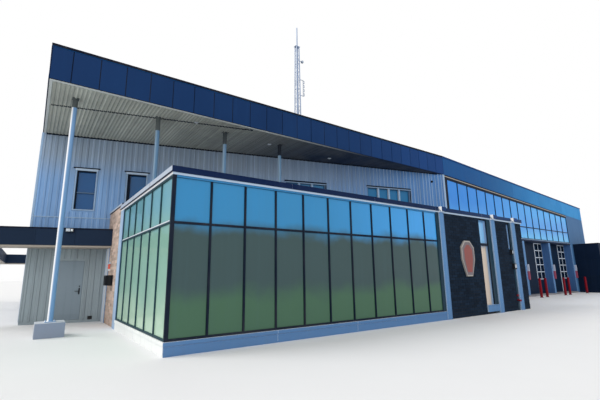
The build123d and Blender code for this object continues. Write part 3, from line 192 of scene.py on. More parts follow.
class Effects:
    """The shared shader node groups, each built once, and the materials made with them."""

    def __init__(self) -> None:
        """Builds all groups."""
        self.weather = self._weather()
        self.sky_side = self._sky_side()
        self.drift = self._drift("drift", "X")
        self.rise = self._drift("rise", "Z")
        self.height_fade = self._height_fade()
        self.grain = self._grain()
        self.made: dict[str, bpy.types.Material] = {}

    @staticmethod
    def _weather() -> bpy.types.NodeTree:
        """Soft blotches, rain streaks, piece-to-piece tone and dust near the ground."""
        sheet, given, made = new_group(
            "weather",
            {
                "Colour": (0.5, 0.5, 0.5), "Dirt": (0.2, 0.19, 0.17), "Blotches": 0.1,
                "Streaks": 0.1, "Tone": 0.1, "Roughness": 0.4,
            },
            ("Colour", "Roughness"),
        )
        place = sheet.place()
        blotch = sheet.ramp(sheet.noise(place, 0.9, 5.0), 0.35, 0.75)
        scale = {"Vector": place, "Scale": (9.0, 9.0, 0.35)}
        stretched = sheet.add("ShaderNodeMapping", scale).outputs[0]
        streak = sheet.ramp(sheet.noise(stretched, 1.0, 4.0), 0.48, 0.72)
        ground = sheet.math("SUBTRACT", 1.0, sheet.ramp(sheet.along(place, "Z"), 0.0, 0.5))
        dirt = sheet.math("MULTIPLY", blotch, given["Blotches"])
        dirt = sheet.math("ADD", dirt, sheet.math("MULTIPLY", streak, given["Streaks"]))
        dusty = sheet.math("MULTIPLY", ground, given["Blotches"])
        dirt = sheet.math("MINIMUM", sheet.math("ADD", dirt, dusty), 0.8)
        piece = sheet.add("ShaderNodeAttribute", attribute_name="tone").outputs["Fac"]
        gain = sheet.math("ADD", 1.0, sheet.math("MULTIPLY", piece, given["Tone"]))
        grey = sheet.add("ShaderNodeCombineColor", {0: gain, 1: gain, 2: gain}).outputs[0]
        toned = sheet.mix(1.0, given["Colour"], grey, "MULTIPLY")
        sheet.feed(made["Colour"], sheet.mix(dirt, toned, given["Dirt"]))
        rough = sheet.math("ADD", given["Roughness"], sheet.math("MULTIPLY", dirt, 0.35))
        sheet.feed(made["Roughness"], sheet.math("MINIMUM", rough, 1.0))
        return sheet.tree

    @staticmethod
    def _sky_side() -> bpy.types.NodeTree:
        """Painted shade: faces turned from the sun take the painted shade colour, the others keep the
        lit colour.
        """
        inputs = {"Colour": (0.8, 0.8, 0.8), "Sky tint": (0.3, 0.35, 0.6)}
        sheet, given, made = new_group("sky_side", inputs, ("Colour",))
        facing = sheet.add("ShaderNodeNewGeometry").outputs["Normal"]
        sides = {0: facing, 1: (-0.8, 0.45, 0.4)}
        sun = sheet.add("ShaderNodeVectorMath", sides, operation="DOT_PRODUCT").outputs["Value"]
        lit = sheet.ramp(sun, -0.25, 0.35)
        sheet.feed(made["Colour"], sheet.mix(lit, given["Sky tint"], given["Colour"]))
        return sheet.tree

    @staticmethod
    def _drift(name: str, axis: str) -> bpy.types.NodeTree:
        """One colour that turns into another along an axis, to the right or upwards."""
        inputs = {"Near": (0.5, 0.5, 0.5), "Far": (0.2, 0.3, 0.6), "Start": 0.0, "End": 30.0}
        sheet, given, made = new_group(name, inputs, ("Colour",))
        share = sheet.ramp(sheet.along(sheet.place(), axis), given["Start"], given["End"])
        sheet.feed(made["Colour"], sheet.mix(share, given["Near"], given["Far"]))
        return sheet.tree

    @staticmethod
    def _height_fade() -> bpy.types.NodeTree:
        """Painted reflection on glass: three colours, one over the other, with a wavy change between
        them.
        """
        sheet, given, made = new_group(
            "height_fade",
            {
                "Low": (0.1, 0.2, 0.1), "Middle": (0.1, 0.1, 0.1), "High": (0.1, 0.3, 0.6),
                "Low edge": 1.0, "High edge": 2.6, "Softness": 0.3,
            },
            ("Colour",),
        )
        place = sheet.place()
        wave = sheet.math("SUBTRACT", sheet.noise(place, 0.8, 4.0), 0.5)
        wavy = sheet.math("ADD", sheet.along(place, "Z"), sheet.math("MULTIPLY", wave, 0.9))

        def over(edge: bpy.types.NodeSocket) -> bpy.types.NodeSocket:
            """0 below an edge and 1 above it."""
            away = sheet.math("DIVIDE", sheet.math("SUBTRACT", wavy, edge), given["Softness"])
            return sheet.ramp(away, -1.0, 1.0)

        lower = sheet.mix(over(given["Low edge"]), given["Low"], given["Middle"])
        sheet.feed(made["Colour"], sheet.mix(over(given["High edge"]), lower, given["High"]))
        return sheet.tree

    @staticmethod
    def _grain() -> bpy.types.NodeTree:
        """Height of a fine grain on top of slow waves, for bump."""
        inputs = {"Fine scale": 60.0, "Fine": 0.5, "Wave scale": 2.0, "Wave": 0.5}
        sheet, given, made = new_group("grain", inputs, ("Height",))
        place = sheet.place()
        fine = sheet.noise(place, given["Fine scale"], 4.0)
        wave = sheet.noise(place, given["Wave scale"], 1.0)
        height = sheet.math("MULTIPLY", fine, given["Fine"])
        height = sheet.math("ADD", height, sheet.math("MULTIPLY", wave, given["Wave"]))
        sheet.feed(made["Height"], height)
        return sheet.tree


@dataclass(frozen=True)
class Finish:
    """A surface finish, and the material that it becomes.

    Attributes:
        colour: the clean colour.
        dirt: the colour of dust and streaks.
        sky_tint: the painted shade colour of faces turned from the sun, or None to leave them.
        blotches: strength of soft stains.
        streaks: strength of rain streaks.
        tone: how far single pieces differ.
        roughness: roughness where clean.
        metallic: metallic share.
        coat: clear coat.
        specular: strength of the mirror-like share.
        far: the colour at the building's right, or None. With a painted shade colour it is that
            colour that changes.
        lit_far: with a painted shade colour, the colour of sunny faces at the right, or None.
        far_span: X where the change starts and ends.
        upper: the colour high up, or the painted shade colour there, or None.
        upper_span: height where that change starts and ends.
        fine_scale: grains in a metre.
        fine: height of the grain.
        wave_scale: waves in a metre.
        wave: height of the waves.
        bump: distance that the heights stand for, in metres.
    """

    colour: Colour
    dirt: Colour = (0.16, 0.15, 0.14)
    sky_tint: Colour | None = None
    blotches: float = 0.10
    streaks: float = 0.10
    tone: float = 0.10
    roughness: float = 0.5
    metallic: float = 0.0
    coat: float = 0.0
    specular: float = 0.06
    far: Colour | None = None
    lit_far: Colour | None = None
    far_span: Span = (0.0, 30.0)
    upper: Colour | None = None
    upper_span: Span = (5.0, 6.4)
    fine_scale: float = 90.0
    fine: float = 0.5
    wave_scale: float = 2.5
    wave: float = 0.5
    bump: float = 0.002

    def material(self, name: str, effects: Effects) -> bpy.types.Material:
        """Builds the material, or finds it where it was built before."""
        if name in effects.made:
            return effects.made[name]
        material = bpy.data.materials.new(f"{name}_finish")
        effects.made[name] = material
        material.use_nodes = True
        sheet = Sheet(material.node_tree)
        wear = {
            "Colour": self.base_colour(sheet, effects), "Dirt": self.dirt,
            "Blotches": self.blotches, "Streaks": self.streaks, "Tone": self.tone,
            "Roughness": self.roughness,
        }
        worn = sheet.add("ShaderNodeGroup", wear, node_tree=effects.weather)
        relief = {
            "Fine scale": self.fine_scale, "Fine": self.fine, "Wave scale": self.wave_scale,
            "Wave": self.wave,
        }
        grain = sheet.add("ShaderNodeGroup", relief, node_tree=effects.grain)
        heights = {"Height": grain.outputs[0], "Distance": self.bump, "Strength": 0.6}
        surface = {
            "Base Color": worn.outputs["Colour"],
            "Roughness": worn.outputs["Roughness"],
            "Metallic": self.metallic,
            "Coat Weight": self.coat,
            "Specular IOR Level": self.specular,
            "Normal": sheet.add("ShaderNodeBump", heights).outputs[0],
        }
        shader = sheet.add("ShaderNodeBsdfPrincipled", surface)
        self.finish_shader(sheet, shader)
        sheet.add("ShaderNodeOutputMaterial", {"Surface": shader.outputs[0]})
        return material

    def base_colour(self, sheet: Sheet, effects: Effects) -> Colour | bpy.types.NodeSocket:
        """Colour before wear: the plain one, or one that changes with place, with painted shade on
        faces turned from the sun.
        """
        shade = self.colour if self.sky_tint is None else self.sky_tint
        if self.upper is not None:
            shade = self.drifting(sheet, effects.rise, shade, self.upper, self.upper_span)
        if self.far is not None:
            shade = self.drifting(sheet, effects.drift, shade, self.far, self.far_span)
        if self.sky_tint is None:
            return shade
        lit = self.colour
        if self.lit_far is not None:
            lit = self.drifting(sheet, effects.drift, lit, self.lit_far, self.far_span)
        # Faces turned from the sun get the painted shade colour, the others the lit one.
        sides = {"Colour": lit, "Sky tint": shade}
        return sheet.add("ShaderNodeGroup", sides, node_tree=effects.sky_side).outputs[0]

    @staticmethod
    def drifting(
        sheet: Sheet, group: bpy.types.NodeTree, near: Value, far: Colour, span: Span
    ) -> bpy.types.NodeSocket:
        """A colour that turns into another one over a span."""
        inputs = {"Near": near, "Far": far, "Start": span[0], "End": span[1]}
        return sheet.add("ShaderNodeGroup", inputs, node_tree=group).outputs[0]

    def finish_shader(self, sheet: Sheet, shader: bpy.types.Node) -> None:
        """Room for a finish to set more of its shader."""


@dataclass(frozen=True)
class Mineral(Finish):
    """Brick, concrete or roofing with a coarse grain."""

    roughness: float = 0.8
    fine: float = 1.0
    bump: float = 0.004


@dataclass(frozen=True)
class Glazing(Finish):
    """Tinted glass with painted reflections of the open land below and the sky above.

    Attributes:
        low: painted reflection colour near the ground.
        middle: painted reflection colour at eye height.
        low_edge: height where low becomes middle.
        high_edge: height where middle becomes the painted sky colour.
        softness: half height of each change.
        clear: share of light that passes.
    """

    blotches: float = 0.05
    streaks: float = 0.05
    tone: float = 0.0
    roughness: float = 0.05
    coat: float = 0.15
    specular: float = 0.1
    fine: float = 0.0
    wave: float = 0.4
    low: Colour = (0.05, 0.10, 0.06)
    middle: Colour = (0.04, 0.07, 0.08)
    low_edge: float = 1.0
    high_edge: float = 2.7
    softness: float = 0.5
    clear: float = 0.1

    def base_colour(self, sheet: Sheet, effects: Effects) -> bpy.types.NodeSocket:
        """Painted reflection that changes with the height: land low down, sky above."""
        high = self.colour
        if self.far is not None:
            high = self.drifting(sheet, effects.drift, high, self.far, self.far_span)
        bands = {
            "Low": self.low, "Middle": self.middle, "High": high, "Low edge": self.low_edge,
            "High edge": self.high_edge, "Softness": self.softness,
        }
        return sheet.add("ShaderNodeGroup", bands, node_tree=effects.height_fade).outputs[0]

    def finish_shader(self, sheet: Sheet, shader: bpy.types.Node) -> None:
        """Lets light through."""
        sheet.feed(shader.inputs["Transmission Weight"], self.clear)
        sheet.feed(shader.inputs["IOR"], 1.45)


class Look(Enum):
    """Every finish on the building."""

    # Painted shade: blue on faces turned from the sun.
    WHITE_METAL = Finish(
        paint(246, 248, 246), sky_tint=paint(86, 126, 172), roughness=0.45, streaks=0.06,
        blotches=0.05,
    )
    # Painted shade: pale blue on faces turned from the sun.
    TRIM_WHITE = Finish(
        paint(250, 250, 252), sky_tint=paint(180, 200, 222), roughness=0.4, streaks=0.03,
        blotches=0.03,
    )
    # Painted light: pale on faces turned to the sun, navy painted shade on the others, turning bluer
    # towards the right.
    ROOF_CAP = Finish(
        paint(188, 198, 212), dirt=paint(70, 84, 110), sky_tint=paint(9, 30, 66),
        far=paint(24, 54, 96), far_span=(6.0, 16.0), roughness=0.45, streaks=0.06, blotches=0.08,
        wave=1.0, bump=0.004,
    )
    HEAD_COVER = Finish(paint(52, 122, 172), roughness=0.4)
    # Painted highlight: white of the sunlit end faces of the cap.
    CAP_END = Finish(paint(252, 252, 250), streaks=0.02, blotches=0.02)
    PALE_LINE = Finish(paint(142, 168, 196), streaks=0.05)
    # Dark frame colour, also used for painted shadow strips in window reveals and under the fascia.
    DARK_FRAME = Finish(paint(13, 26, 44), streaks=0.05)
    # Painted light: a lighter copy of the dark frame colour for the sunlit left side.
    SIDE_FRAME = Finish(paint(40, 70, 80))
    NAVY_METAL = Finish(
        paint(14, 48, 92), dirt=paint(28, 64, 112), roughness=0.45, far=paint(10, 58, 116),
        far_span=(6.0, 16.0), streaks=0.12, blotches=0.16, specular=0.08, wave=1.0, bump=0.004,
    )
    # Dark navy of copings, caps and door joints, also used for painted shadow strips under caps and
    # along the header's foot.
    NAVY_SHADE = Finish(paint(12, 20, 38), roughness=0.6)
    BLUE_METAL = Finish(
        paint(14, 74, 130), dirt=paint(30, 92, 152), roughness=0.42, far=paint(38, 140, 204),
        far_span=(17.0, 33.0), streaks=0.16, blotches=0.18, wave=1.0, specular=0.08, bump=0.004,
    )
    END_METAL = Finish(paint(66, 108, 152), dirt=paint(52, 88, 130), roughness=0.45, streaks=0.2)
    CANOPY_METAL = Finish(paint(28, 43, 64), dirt=paint(40, 52, 72), streaks=0.12)
    BLOCK_METAL = Finish(paint(17, 32, 54), dirt=paint(32, 46, 66), roughness=0.55, streaks=0.15)
    # Painted shade: blue on faces turned from the sun.
    CLAD_METAL = Finish(
        paint(176, 200, 226), dirt=paint(84, 112, 148), sky_tint=paint(90, 132, 178),
        roughness=0.45, streaks=0.18, blotches=0.15,
    )
    TEAL_METAL = Finish(paint(20, 52, 70), streaks=0.12)
    REVEAL_METAL = Finish(
        paint(74, 112, 164), dirt=paint(60, 92, 138), roughness=0.55, streaks=0.2,
    )
    HEADER_METAL = Finish(paint(34, 56, 88), streaks=0.15)
    # Painted shade: faces turned from the sun are blue, greyer high up under the overhang and deeper
    # blue towards the right; sunny rib flanks are pale.
    SIDING = Finish(
        paint(176, 198, 224), dirt=paint(108, 136, 172), sky_tint=paint(132, 170, 216),
        far=paint(80, 124, 178), far_span=(4.0, 15.0), upper=paint(150, 166, 184),
        upper_span=(4.9, 6.3), roughness=0.45, streaks=0.20, blotches=0.15, tone=0.14, wave=0.8,
        bump=0.003,
    )
    # Painted shade: blue-grey on faces turned from the sun.
    SIDING_REST = Finish(
        paint(226, 232, 240), dirt=paint(130, 148, 172), sky_tint=paint(140, 164, 196),
        roughness=0.45, streaks=0.16, blotches=0.12, tone=0.12, wave=0.8, bump=0.003,
    )
    # Painted shade: blue on faces turned from the sun.
    SIDING_EDGE = Finish(
        paint(214, 220, 228), sky_tint=paint(150, 180, 212), roughness=0.45, streaks=0.15,
    )
    LOW_SIDING = Finish(
        paint(146, 158, 164), dirt=paint(116, 126, 132), streaks=0.3, blotches=0.2,
    )
    DOOR_SKIN = Finish(paint(128, 142, 152), dirt=paint(100, 112, 120), streaks=0.2)
    WINDOW_FRAME = Finish(paint(84, 112, 142))
    # Painted shade: the soffit turns darker towards the right, deeper under the overhang.
    SOFFIT_METAL = Finish(
        paint(174, 178, 170), dirt=paint(120, 124, 124), far=paint(52, 66, 90),
        far_span=(1.5, 8.5), roughness=0.6, blotches=0.35, tone=0.2,
    )
    # Painted shade: grey of the column tops where the overhang shades them, darker towards the right.
    COLLAR_STEEL = Finish(
        paint(84, 92, 94), far=paint(36, 44, 56), far_span=(0.9, 6.0), roughness=0.6,
    )
    EAVE_TRIM = Finish(paint(196, 202, 202), far=paint(26, 42, 68), far_span=(4.0, 11.0))
    BEIGE_TRIM = Finish(paint(168, 160, 150))
    BLACK_BRICK = Mineral(
        paint(20, 34, 50), dirt=paint(38, 50, 66), tone=0.35, blotches=0.25, fine_scale=45.0,
    )
    BLACK_MORTAR = Finish(paint(11, 18, 29), roughness=0.9, fine_scale=150.0, bump=0.003, tone=0.0)
    PINK_BRICK = Mineral(
        paint(200, 178, 164), dirt=paint(160, 136, 122), tone=0.28, blotches=0.3, fine_scale=45.0,
    )
    PALE_MORTAR = Finish(paint(196, 190, 182), roughness=0.9, fine_scale=150.0, bump=0.003)
    CONCRETE = Mineral(
        paint(150, 152, 160), dirt=paint(112, 112, 114), roughness=0.85, blotches=0.35,
        streaks=0.2, fine_scale=35.0,
    )
    # Painted shade: blue-grey on faces turned from the sun.
    PIER_CONCRETE = Mineral(
        paint(206, 212, 218), dirt=paint(136, 144, 158), sky_tint=paint(134, 146, 168),
        roughness=0.85, blotches=0.3, fine_scale=35.0,
    )
    ROOF_MEMBRANE = Mineral(
        paint(150, 150, 148), dirt=paint(112, 112, 108), blotches=0.22, streaks=0.0,
        fine_scale=25.0,
    )
    # Painted light: white where sunlit and blue painted shade on the other side, both darker for the
    # columns further under the roof.
    COLUMN_STEEL = Finish(
        paint(252, 253, 254), dirt=paint(150, 168, 196), sky_tint=paint(112, 152, 196),
        far=paint(96, 132, 164), lit_far=paint(142, 168, 190), far_span=(-1.4, 0.5),
        roughness=0.4, streaks=0.06,
    )
    # Painted shade: blue-grey on faces turned from the sun.
    GALVANISED = Finish(
        paint(206, 214, 226), dirt=paint(146, 158, 178), sky_tint=paint(148, 166, 196),
        roughness=0.45, metallic=0.2, fine_scale=30.0, blotches=0.3,
    )
    ANTENNA = Finish(paint(164, 176, 194), roughness=0.45, metallic=0.3)
    RED_PAINT = Finish(
        paint(130, 20, 34), dirt=paint(84, 26, 38), coat=0.05, streaks=0.25, blotches=0.2,
    )
    MARKER_RED = Finish(paint(172, 84, 104))
    MARKER_PALE = Finish(paint(188, 196, 212))
    DOOR_WHITE = Finish(paint(206, 216, 228), dirt=paint(140, 156, 178), roughness=0.45)
    DOOR_DARK = Finish(paint(8, 28, 50), dirt=paint(20, 42, 66), streaks=0.15, blotches=0.2)
    PLAQUE_RIM = Finish(paint(168, 164, 160), roughness=0.55, blotches=0.2)
    PLAQUE_BAND = Finish(paint(120, 112, 118), roughness=0.6, blotches=0.3)
    PLAQUE_RED = Finish(
        paint(146, 86, 84), dirt=paint(110, 92, 86), roughness=0.6, blotches=0.4,
        fine_scale=30.0, bump=0.003,
    )
    STAINLESS = Finish(paint(170, 174, 178), roughness=0.3, metallic=0.9)
    LAMP_DARK = Finish(paint(28, 30, 34), roughness=0.55, metallic=0.2)
    LAMP_SILVER = Finish(paint(190, 200, 210), roughness=0.4, metallic=0.2)
    LENS_PALE = Finish(paint(236, 240, 244), roughness=0.2, coat=0.5)
    LENS_RED = Finish(paint(222, 84, 60), roughness=0.2, coat=0.6)
    # Glass colours are painted reflections of the land and the sky, by height and along the building.
    FRONT_GLASS = Glazing(
        paint(58, 147, 203), far=paint(72, 172, 246), far_span=(3.0, 9.0),
        dirt=paint(84, 116, 126), roughness=0.04, low=paint(76, 114, 90),
        middle=paint(66, 90, 92), low_edge=1.15, high_edge=2.62, softness=0.24, clear=0.2,
        blotches=0.04,
    )
    SIDE_GLASS = Glazing(
        paint(128, 184, 196), dirt=paint(170, 190, 180), coat=0.2, low=paint(198, 230, 204),
        middle=paint(156, 202, 184), high_edge=2.75, clear=0.2,
    )
    STRIP_GLASS = Glazing(
        paint(48, 140, 230), far=paint(76, 180, 252), far_span=(16.0, 31.0),
        dirt=paint(110, 166, 218), low=paint(100, 192, 250), middle=paint(74, 160, 240),
        low_edge=4.2, high_edge=5.2,
    )
    WINDOW_GLASS = Glazing(
        paint(18, 86, 146), dirt=paint(36, 84, 120), far=paint(40, 120, 172),
        far_span=(-2.0, 8.0), low=paint(216, 200, 184), middle=paint(136, 194, 240),
        low_edge=2.62, high_edge=3.85, softness=0.12,
    )
    DOOR_GLASS = Glazing(
        paint(20, 38, 60), dirt=paint(36, 52, 72), roughness=0.06, low=paint(18, 34, 52),
        middle=paint(20, 36, 58), low_edge=1.2, high_edge=2.6,
    )

    def material(self, effects: Effects) -> bpy.types.Material:
        """The finish's material, under the finish's own name."""
        return self.value.material(self.name.lower(), effects)


# Lines and heights that several sub-assemblies share


@dataclass(frozen=True)
class Wall:
    """An upright face.

    Attributes:
        x: X of its zero.
        y: Y of its zero.
        heading: direction in which it runs, in degrees from +X. It faces to the right of that.
    """

    x: float
    y: float
    heading: float = 0.0

    def point(self, along: float, height: float, out: float = 0.0) -> Vector:
        """Point at a distance along the face, at a height, and out from it."""
        turn = math.radians(self.heading)
        x = self.x + math.cos(turn) * along + math.sin(turn) * out
        y = self.y + math.sin(turn) * along - math.cos(turn) * out
        return Vector((x, y, height))

    def moved(self, out: float) -> "Wall":
        """The same face, moved out."""
        turn = math.radians(self.heading)
        return Wall(self.x + math.sin(turn) * out, self.y - math.cos(turn) * out, self.heading)


# The tall hall: its left, right, front and back, and X where its front and its eave bend
LEFT = -2.42
RIGHT = 35.12
HALL = 3.70
BACK = 26.0
KINK = 15.717
# The hall's oblique wall, its level eave, and the fall of the other eave in a metre
SLANT_DEGREES = 14.61
SLANT = math.radians(SLANT_DEGREES)
EAVE = 6.882
FALL = 0.058
# The vehicle bays: X of the first pier, step, width of a pier, and X where their glazing ends
BAYS = 15.975
BAY = 3.978
PIER = 0.250
STRIP_END = 31.887
# Left and right edge of each clad post of the low front, whose walls end below its roof
POSTS = ((9.295, 9.565), (12.800, 13.110), (14.500, 14.820))
LOW_TOP = 3.66

FRONT = Wall(0.0, 0.0)
OBLIQUE = Wall(KINK, HALL, -SLANT_DEGREES)
CANOPY = OBLIQUE.moved(0.83)
HALL_FRONT = Wall(0.0, HALL)
HALL_REAR = Wall(0.0, BACK, 180.0)
HALL_LEFT = Wall(LEFT, BACK, -90.0)
HALL_RIGHT = Wall(RIGHT, HALL, 90.0)
BACK_WALL = Wall(RIGHT, BACK, 180.0)


def oblique_y(x: float) -> float:
    """Y of the oblique wall at x."""
    return OBLIQUE.y - (x - OBLIQUE.x) * math.tan(SLANT)


def eave_at(x: float) -> float:
    """Height of the eave at x: level on the left and falling to the right of the kink."""
    return EAVE - max(0.0, x - KINK) * FALL


def falling(start: float, end: float, low: float, high: float) -> list[Span]:
    """Outline of a band along the falling eave, with its edges measured from the eave."""
    return [
        (start, eave_at(start) + low), (end, eave_at(end) + low),
        (end, eave_at(end) + high), (start, eave_at(start) + high),
    ]


def mirrored(outline: Sequence[Span]) -> list[Span]:
    """The same outline, for a wall that runs the other way."""
    return [(-u, v) for u, v in reversed(outline)]


def around(middle: float, half: float) -> Span:
    """Span given by its middle and half its length."""
    return (middle - half, middle + half)


def clear_runs(across: Span, run: Span, holes: Sequence[Hole], margin: float) -> list[Span]:
    """Parts of a strip that are clear of openings.

    Args:
        across: the strip's two long edges.
        run: its two ends.
        holes: the openings, each as first edge, lower end, second edge and upper end.
        margin: distance to keep from them.

    Returns:
        The free stretches between its ends.
    """
    runs = [run]
    for left, low, right, high in holes:
        if across[1] <= left - margin or across[0] >= right + margin:
            continue
        cut = []
        for bottom, top in runs:
            if low - margin > bottom:
                cut.append((bottom, min(top, low - margin)))
            if high + margin < top:
                cut.append((max(bottom, high + margin), top))
        runs = [part for part in cut if part[1] - part[0] > 0.02]
    return runs


def side_faces(count: int) -> list[tuple[int, ...]]:
    """Faces between two rings of points."""
    return [(i, (i + 1) % count, count + (i + 1) % count, count + i) for i in range(count)]


class Mould:
    """Collects faces, each with a tone, for one object, and knows the size of a brick."""

    brick: float = 0.300
    course: float = 0.100
    joint: float = 0.010
    proud: float = 0.006

    def __init__(self, seed: int) -> None:
        """Starts empty, with its own row of chance tones."""
        self.points: list[Vector] = []
        self.faces: list[tuple[int, ...]] = []
        self.tones: list[float] = []
        self.chance = random.Random(seed)

    def add(self, points: Iterable[Vector], faces: Iterable[tuple[int, ...]], tone: float) -> None:
        """Takes in points and the faces between them."""
        start = len(self.points)
        self.points.extend(points)
        for face in faces:
            self.faces.append(tuple(start + i for i in face))
            self.tones.append(tone)

    def pick_tone(self) -> float:
        """A tone between -1 and 1."""
        return self.chance.uniform(-1.0, 1.0)

    def prism(
        self, wall: Wall, outline: Sequence[Span], back: float, front: float, tone: float = 0.0,
        taper: float = 0.0,
    ) -> None:
        """Plate on a wall, with its outline in distance and height.

        Args:
            wall: the face that it lies on.
            outline: its corners, counterclockwise as seen from outside.
            back: how far out its back lies.
            front: how far out its front lies.
            tone: tone of its faces.
            taper: how much smaller its front is at each edge of a rectangle.
        """
        count = len(outline)
        middle = sum((Vector(p) for p in outline), Vector((0, 0))) / count
        points = [wall.point(u, v, back) for u, v in outline]
        for u, v in outline:
            du = math.copysign(taper, middle.x - u) if taper else 0.0
            dv = math.copysign(taper, middle.y - v) if taper else 0.0
            points.append(wall.point(u + du, v + dv, front))
        faces = [tuple(range(count, 2 * count)), tuple(reversed(range(count)))]
        self.add(points, faces + side_faces(count), tone)

    def block(
        self, wall: Wall, along: Span, height: Span, out: Span, tone: float = 0.0,
        taper: float = 0.0,
    ) -> None:
        """Square block on a wall."""
        left, right = along
        low, high = height
        outline = [(left, low), (right, low), (right, high), (left, high)]
        self.prism(wall, outline, out[0], out[1], tone, taper)

    def box(self, low: Sequence[float], high: Sequence[float], tone: float = 0.0) -> None:
        """Box between two corners."""
        self.block(FRONT, (low[0], high[0]), (low[2], high[2]), (-high[1], -low[1]), tone)

    def rib(
        self, wall: Wall, along: Span, height: Span, depth: float, slant: float, tone: float = 0.0
    ) -> None:
        """Upright rib with slanted sides, open at its back."""
        left, right = along
        profile = ((left, 0.0), (left + slant, depth), (right - slant, depth), (right, 0.0))
        points = [wall.point(u, v, out) for v in height for u, out in profile]
        faces = [(i, i + 1, i + 5, i + 4) for i in range(3)]
        self.add(points, faces + [(3, 2, 1, 0), (4, 5, 6, 7)], tone)

    def ring(self, wall: Wall, hole: Hole, width: float, out: Span) -> None:
        """Four bars round an opening, outside its edges."""
        left, low, right, high = hole
        wide = (left - width, right + width)
        self.block(wall, wide, (high, high + width), out)
        self.block(wall, wide, (low - width, low), out)
        self.block(wall, (left - width, left), (low, high), out)
        self.block(wall, (right, right + width), (low, high), out)

    def rod(
        self, start: Vector, end: Vector, radius: float, sides: int = 12,
        end_radius: float | None = None,
    ) -> None:
        """Round bar between two points."""
        axis = (end - start).normalized()
        across = axis.orthogonal().normalized()
        other = axis.cross(across)
        points = []
        for centre, size in ((start, radius), (end, radius if end_radius is None else end_radius)):
            for i in range(sides):
                turn = 2 * math.pi * i / sides
                points.append(centre + (across * math.cos(turn) + other * math.sin(turn)) * size)
        caps = [tuple(reversed(range(sides))), tuple(range(sides, 2 * sides))]
        self.add(points, side_faces(sides) + caps, 0.0)

    def post(
        self, place: Span, height: Span, radius: float, sides: int,
        end_radius: float | None = None,
    ) -> None:
        """Upright round bar."""
        start, end = (Vector((*place, z)) for z in height)
        self.rod(start, end, radius, sides, end_radius)

    def panels(
        self, wall: Wall, along: Span, count: int, gap: float, heights: Sequence[Span],
        depth: float, share: float = 1.0,
    ) -> None:
        """Equal panels side by side, each with a tone of its own.

        Args:
            wall: the face that they lie on.
            along: ends of the row.
            count: panels in a row.
            gap: half the joint between two of them.
            heights: bottom and top of each row.
            depth: how far they stand out.
            share: strength of their tones.
        """
        step = (along[1] - along[0]) / count
        for i in range(count):
            left = along[0] + step * i
            for height in heights:
                tone = self.pick_tone() * share
                self.block(wall, (left + gap, left + step - gap), height, (0.0, depth), tone, 0.002)

    def bricks(self, wall: Wall, along: Span, top: float, holes: Sequence[Hole] = ()) -> None:
        """Running bond of long bricks from the ground up, clear of openings."""
        turned = [(low, left, high, right) for left, low, right, high in holes]
        rows = round(top / self.course)
        course = top / rows
        for row in range(rows):
            low = course * row + self.joint / 2
            high = low + course - self.joint
            u = along[0] - (self.brick / 2 if row % 2 else 0.0)
            while u < along[1]:
                left = max(along[0], u) + self.joint / 2
                right = min(along[1], u + self.brick) - self.joint / 2
                u += self.brick
                for a, b in clear_runs((low, high), (left, right), turned, 0.004):
                    if b - a > 0.02:
                        out = (-0.002, self.proud + self.chance.uniform(-0.0015, 0.0015))
                        self.block(wall, (a, b), (low, high), out, self.pick_tone(), 0.0015)


@dataclass
class SubAssembly:
    """A part of the building that dresses CAD nodes and adds its own pieces.

    Attributes:
        effects: the shared node groups.
        orders: the pieces to cast, in order.
    """

    finishes: ClassVar[dict[Look, str]] = {}
    round_nodes: ClassVar[tuple[str, ...]] = ()
    sharp: ClassVar[float] = math.radians(40)

    effects: Effects
    frame: dict
    orders: list[tuple] = field(default_factory=list)

    def mould(
        self, name: str, look: Look, bevel: float = 0.0, seed: int = 1, smooth: bool = False,
        body: str = BUILDING,
    ) -> Mould:
        """Starts a piece, which is cast once all shapes of the sub-assembly are there.

        Args:
            name: the object's name.
            look: its finish.
            bevel: width of a bevel on sharp edges, or 0.
            seed: start of its row of chance tones.
            smooth: True for round pieces.
            body: the CAD body that carries it.

        Returns:
            The mould that takes its shapes.
        """
        mould = Mould(seed)
        self.orders.append((mould, name, look, bevel, smooth, body))
        return mould

    def cast(
        self, mould: Mould, name: str, look: Look, bevel: float, smooth: bool, body: str
    ) -> bpy.types.Object:
        """Makes the object, dresses it and lets it ride on its body.

        Args:
            mould: its shapes.
            name: its name.
            look: its finish.
            bevel: width of a bevel on sharp edges, or 0.
            smooth: True for round pieces.
            body: the CAD body that carries it.

        Returns:
            The new object.
        """
        mesh = bpy.data.meshes.new(name)
        mesh.from_pydata([tuple(p) for p in mould.points], [], mould.faces)
        mesh.attributes.new("tone", "FLOAT", "FACE").data.foreach_set("value", mould.tones)
        mesh.materials.append(look.material(self.effects))
        if smooth:
            mesh.shade_smooth()
            mesh.set_sharp_from_angle(angle=self.sharp)
        piece = bpy.data.objects.new(name, mesh)
        bpy.context.scene.collection.objects.link(piece)
        if bevel:
            modifier = piece.modifiers.new("soft_edges", "BEVEL")
            modifier.width = bevel
            modifier.segments = 1
            modifier.limit_method = "ANGLE"
        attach(piece, body)
        LOG.info("%s: %d faces", name, len(mesh.polygons))
        return piece

    def make(self) -> dict[str, bpy.types.Object]:
        """Gives the CAD nodes their finish, and shapes and casts the pieces."""
        for look, nodes in self.finishes.items():
            for name in nodes.split():
                materials = self.frame["nodes"][name].data.materials
                materials.clear()
                materials.append(look.material(self.effects))
        for name in self.round_nodes:
            self.frame["nodes"][name].data.shade_smooth()
        self.build()
        return {order[1]: self.cast(*order) for order in self.orders}

    def build(self) -> None:
        """Shapes the pieces."""
        raise NotImplementedError


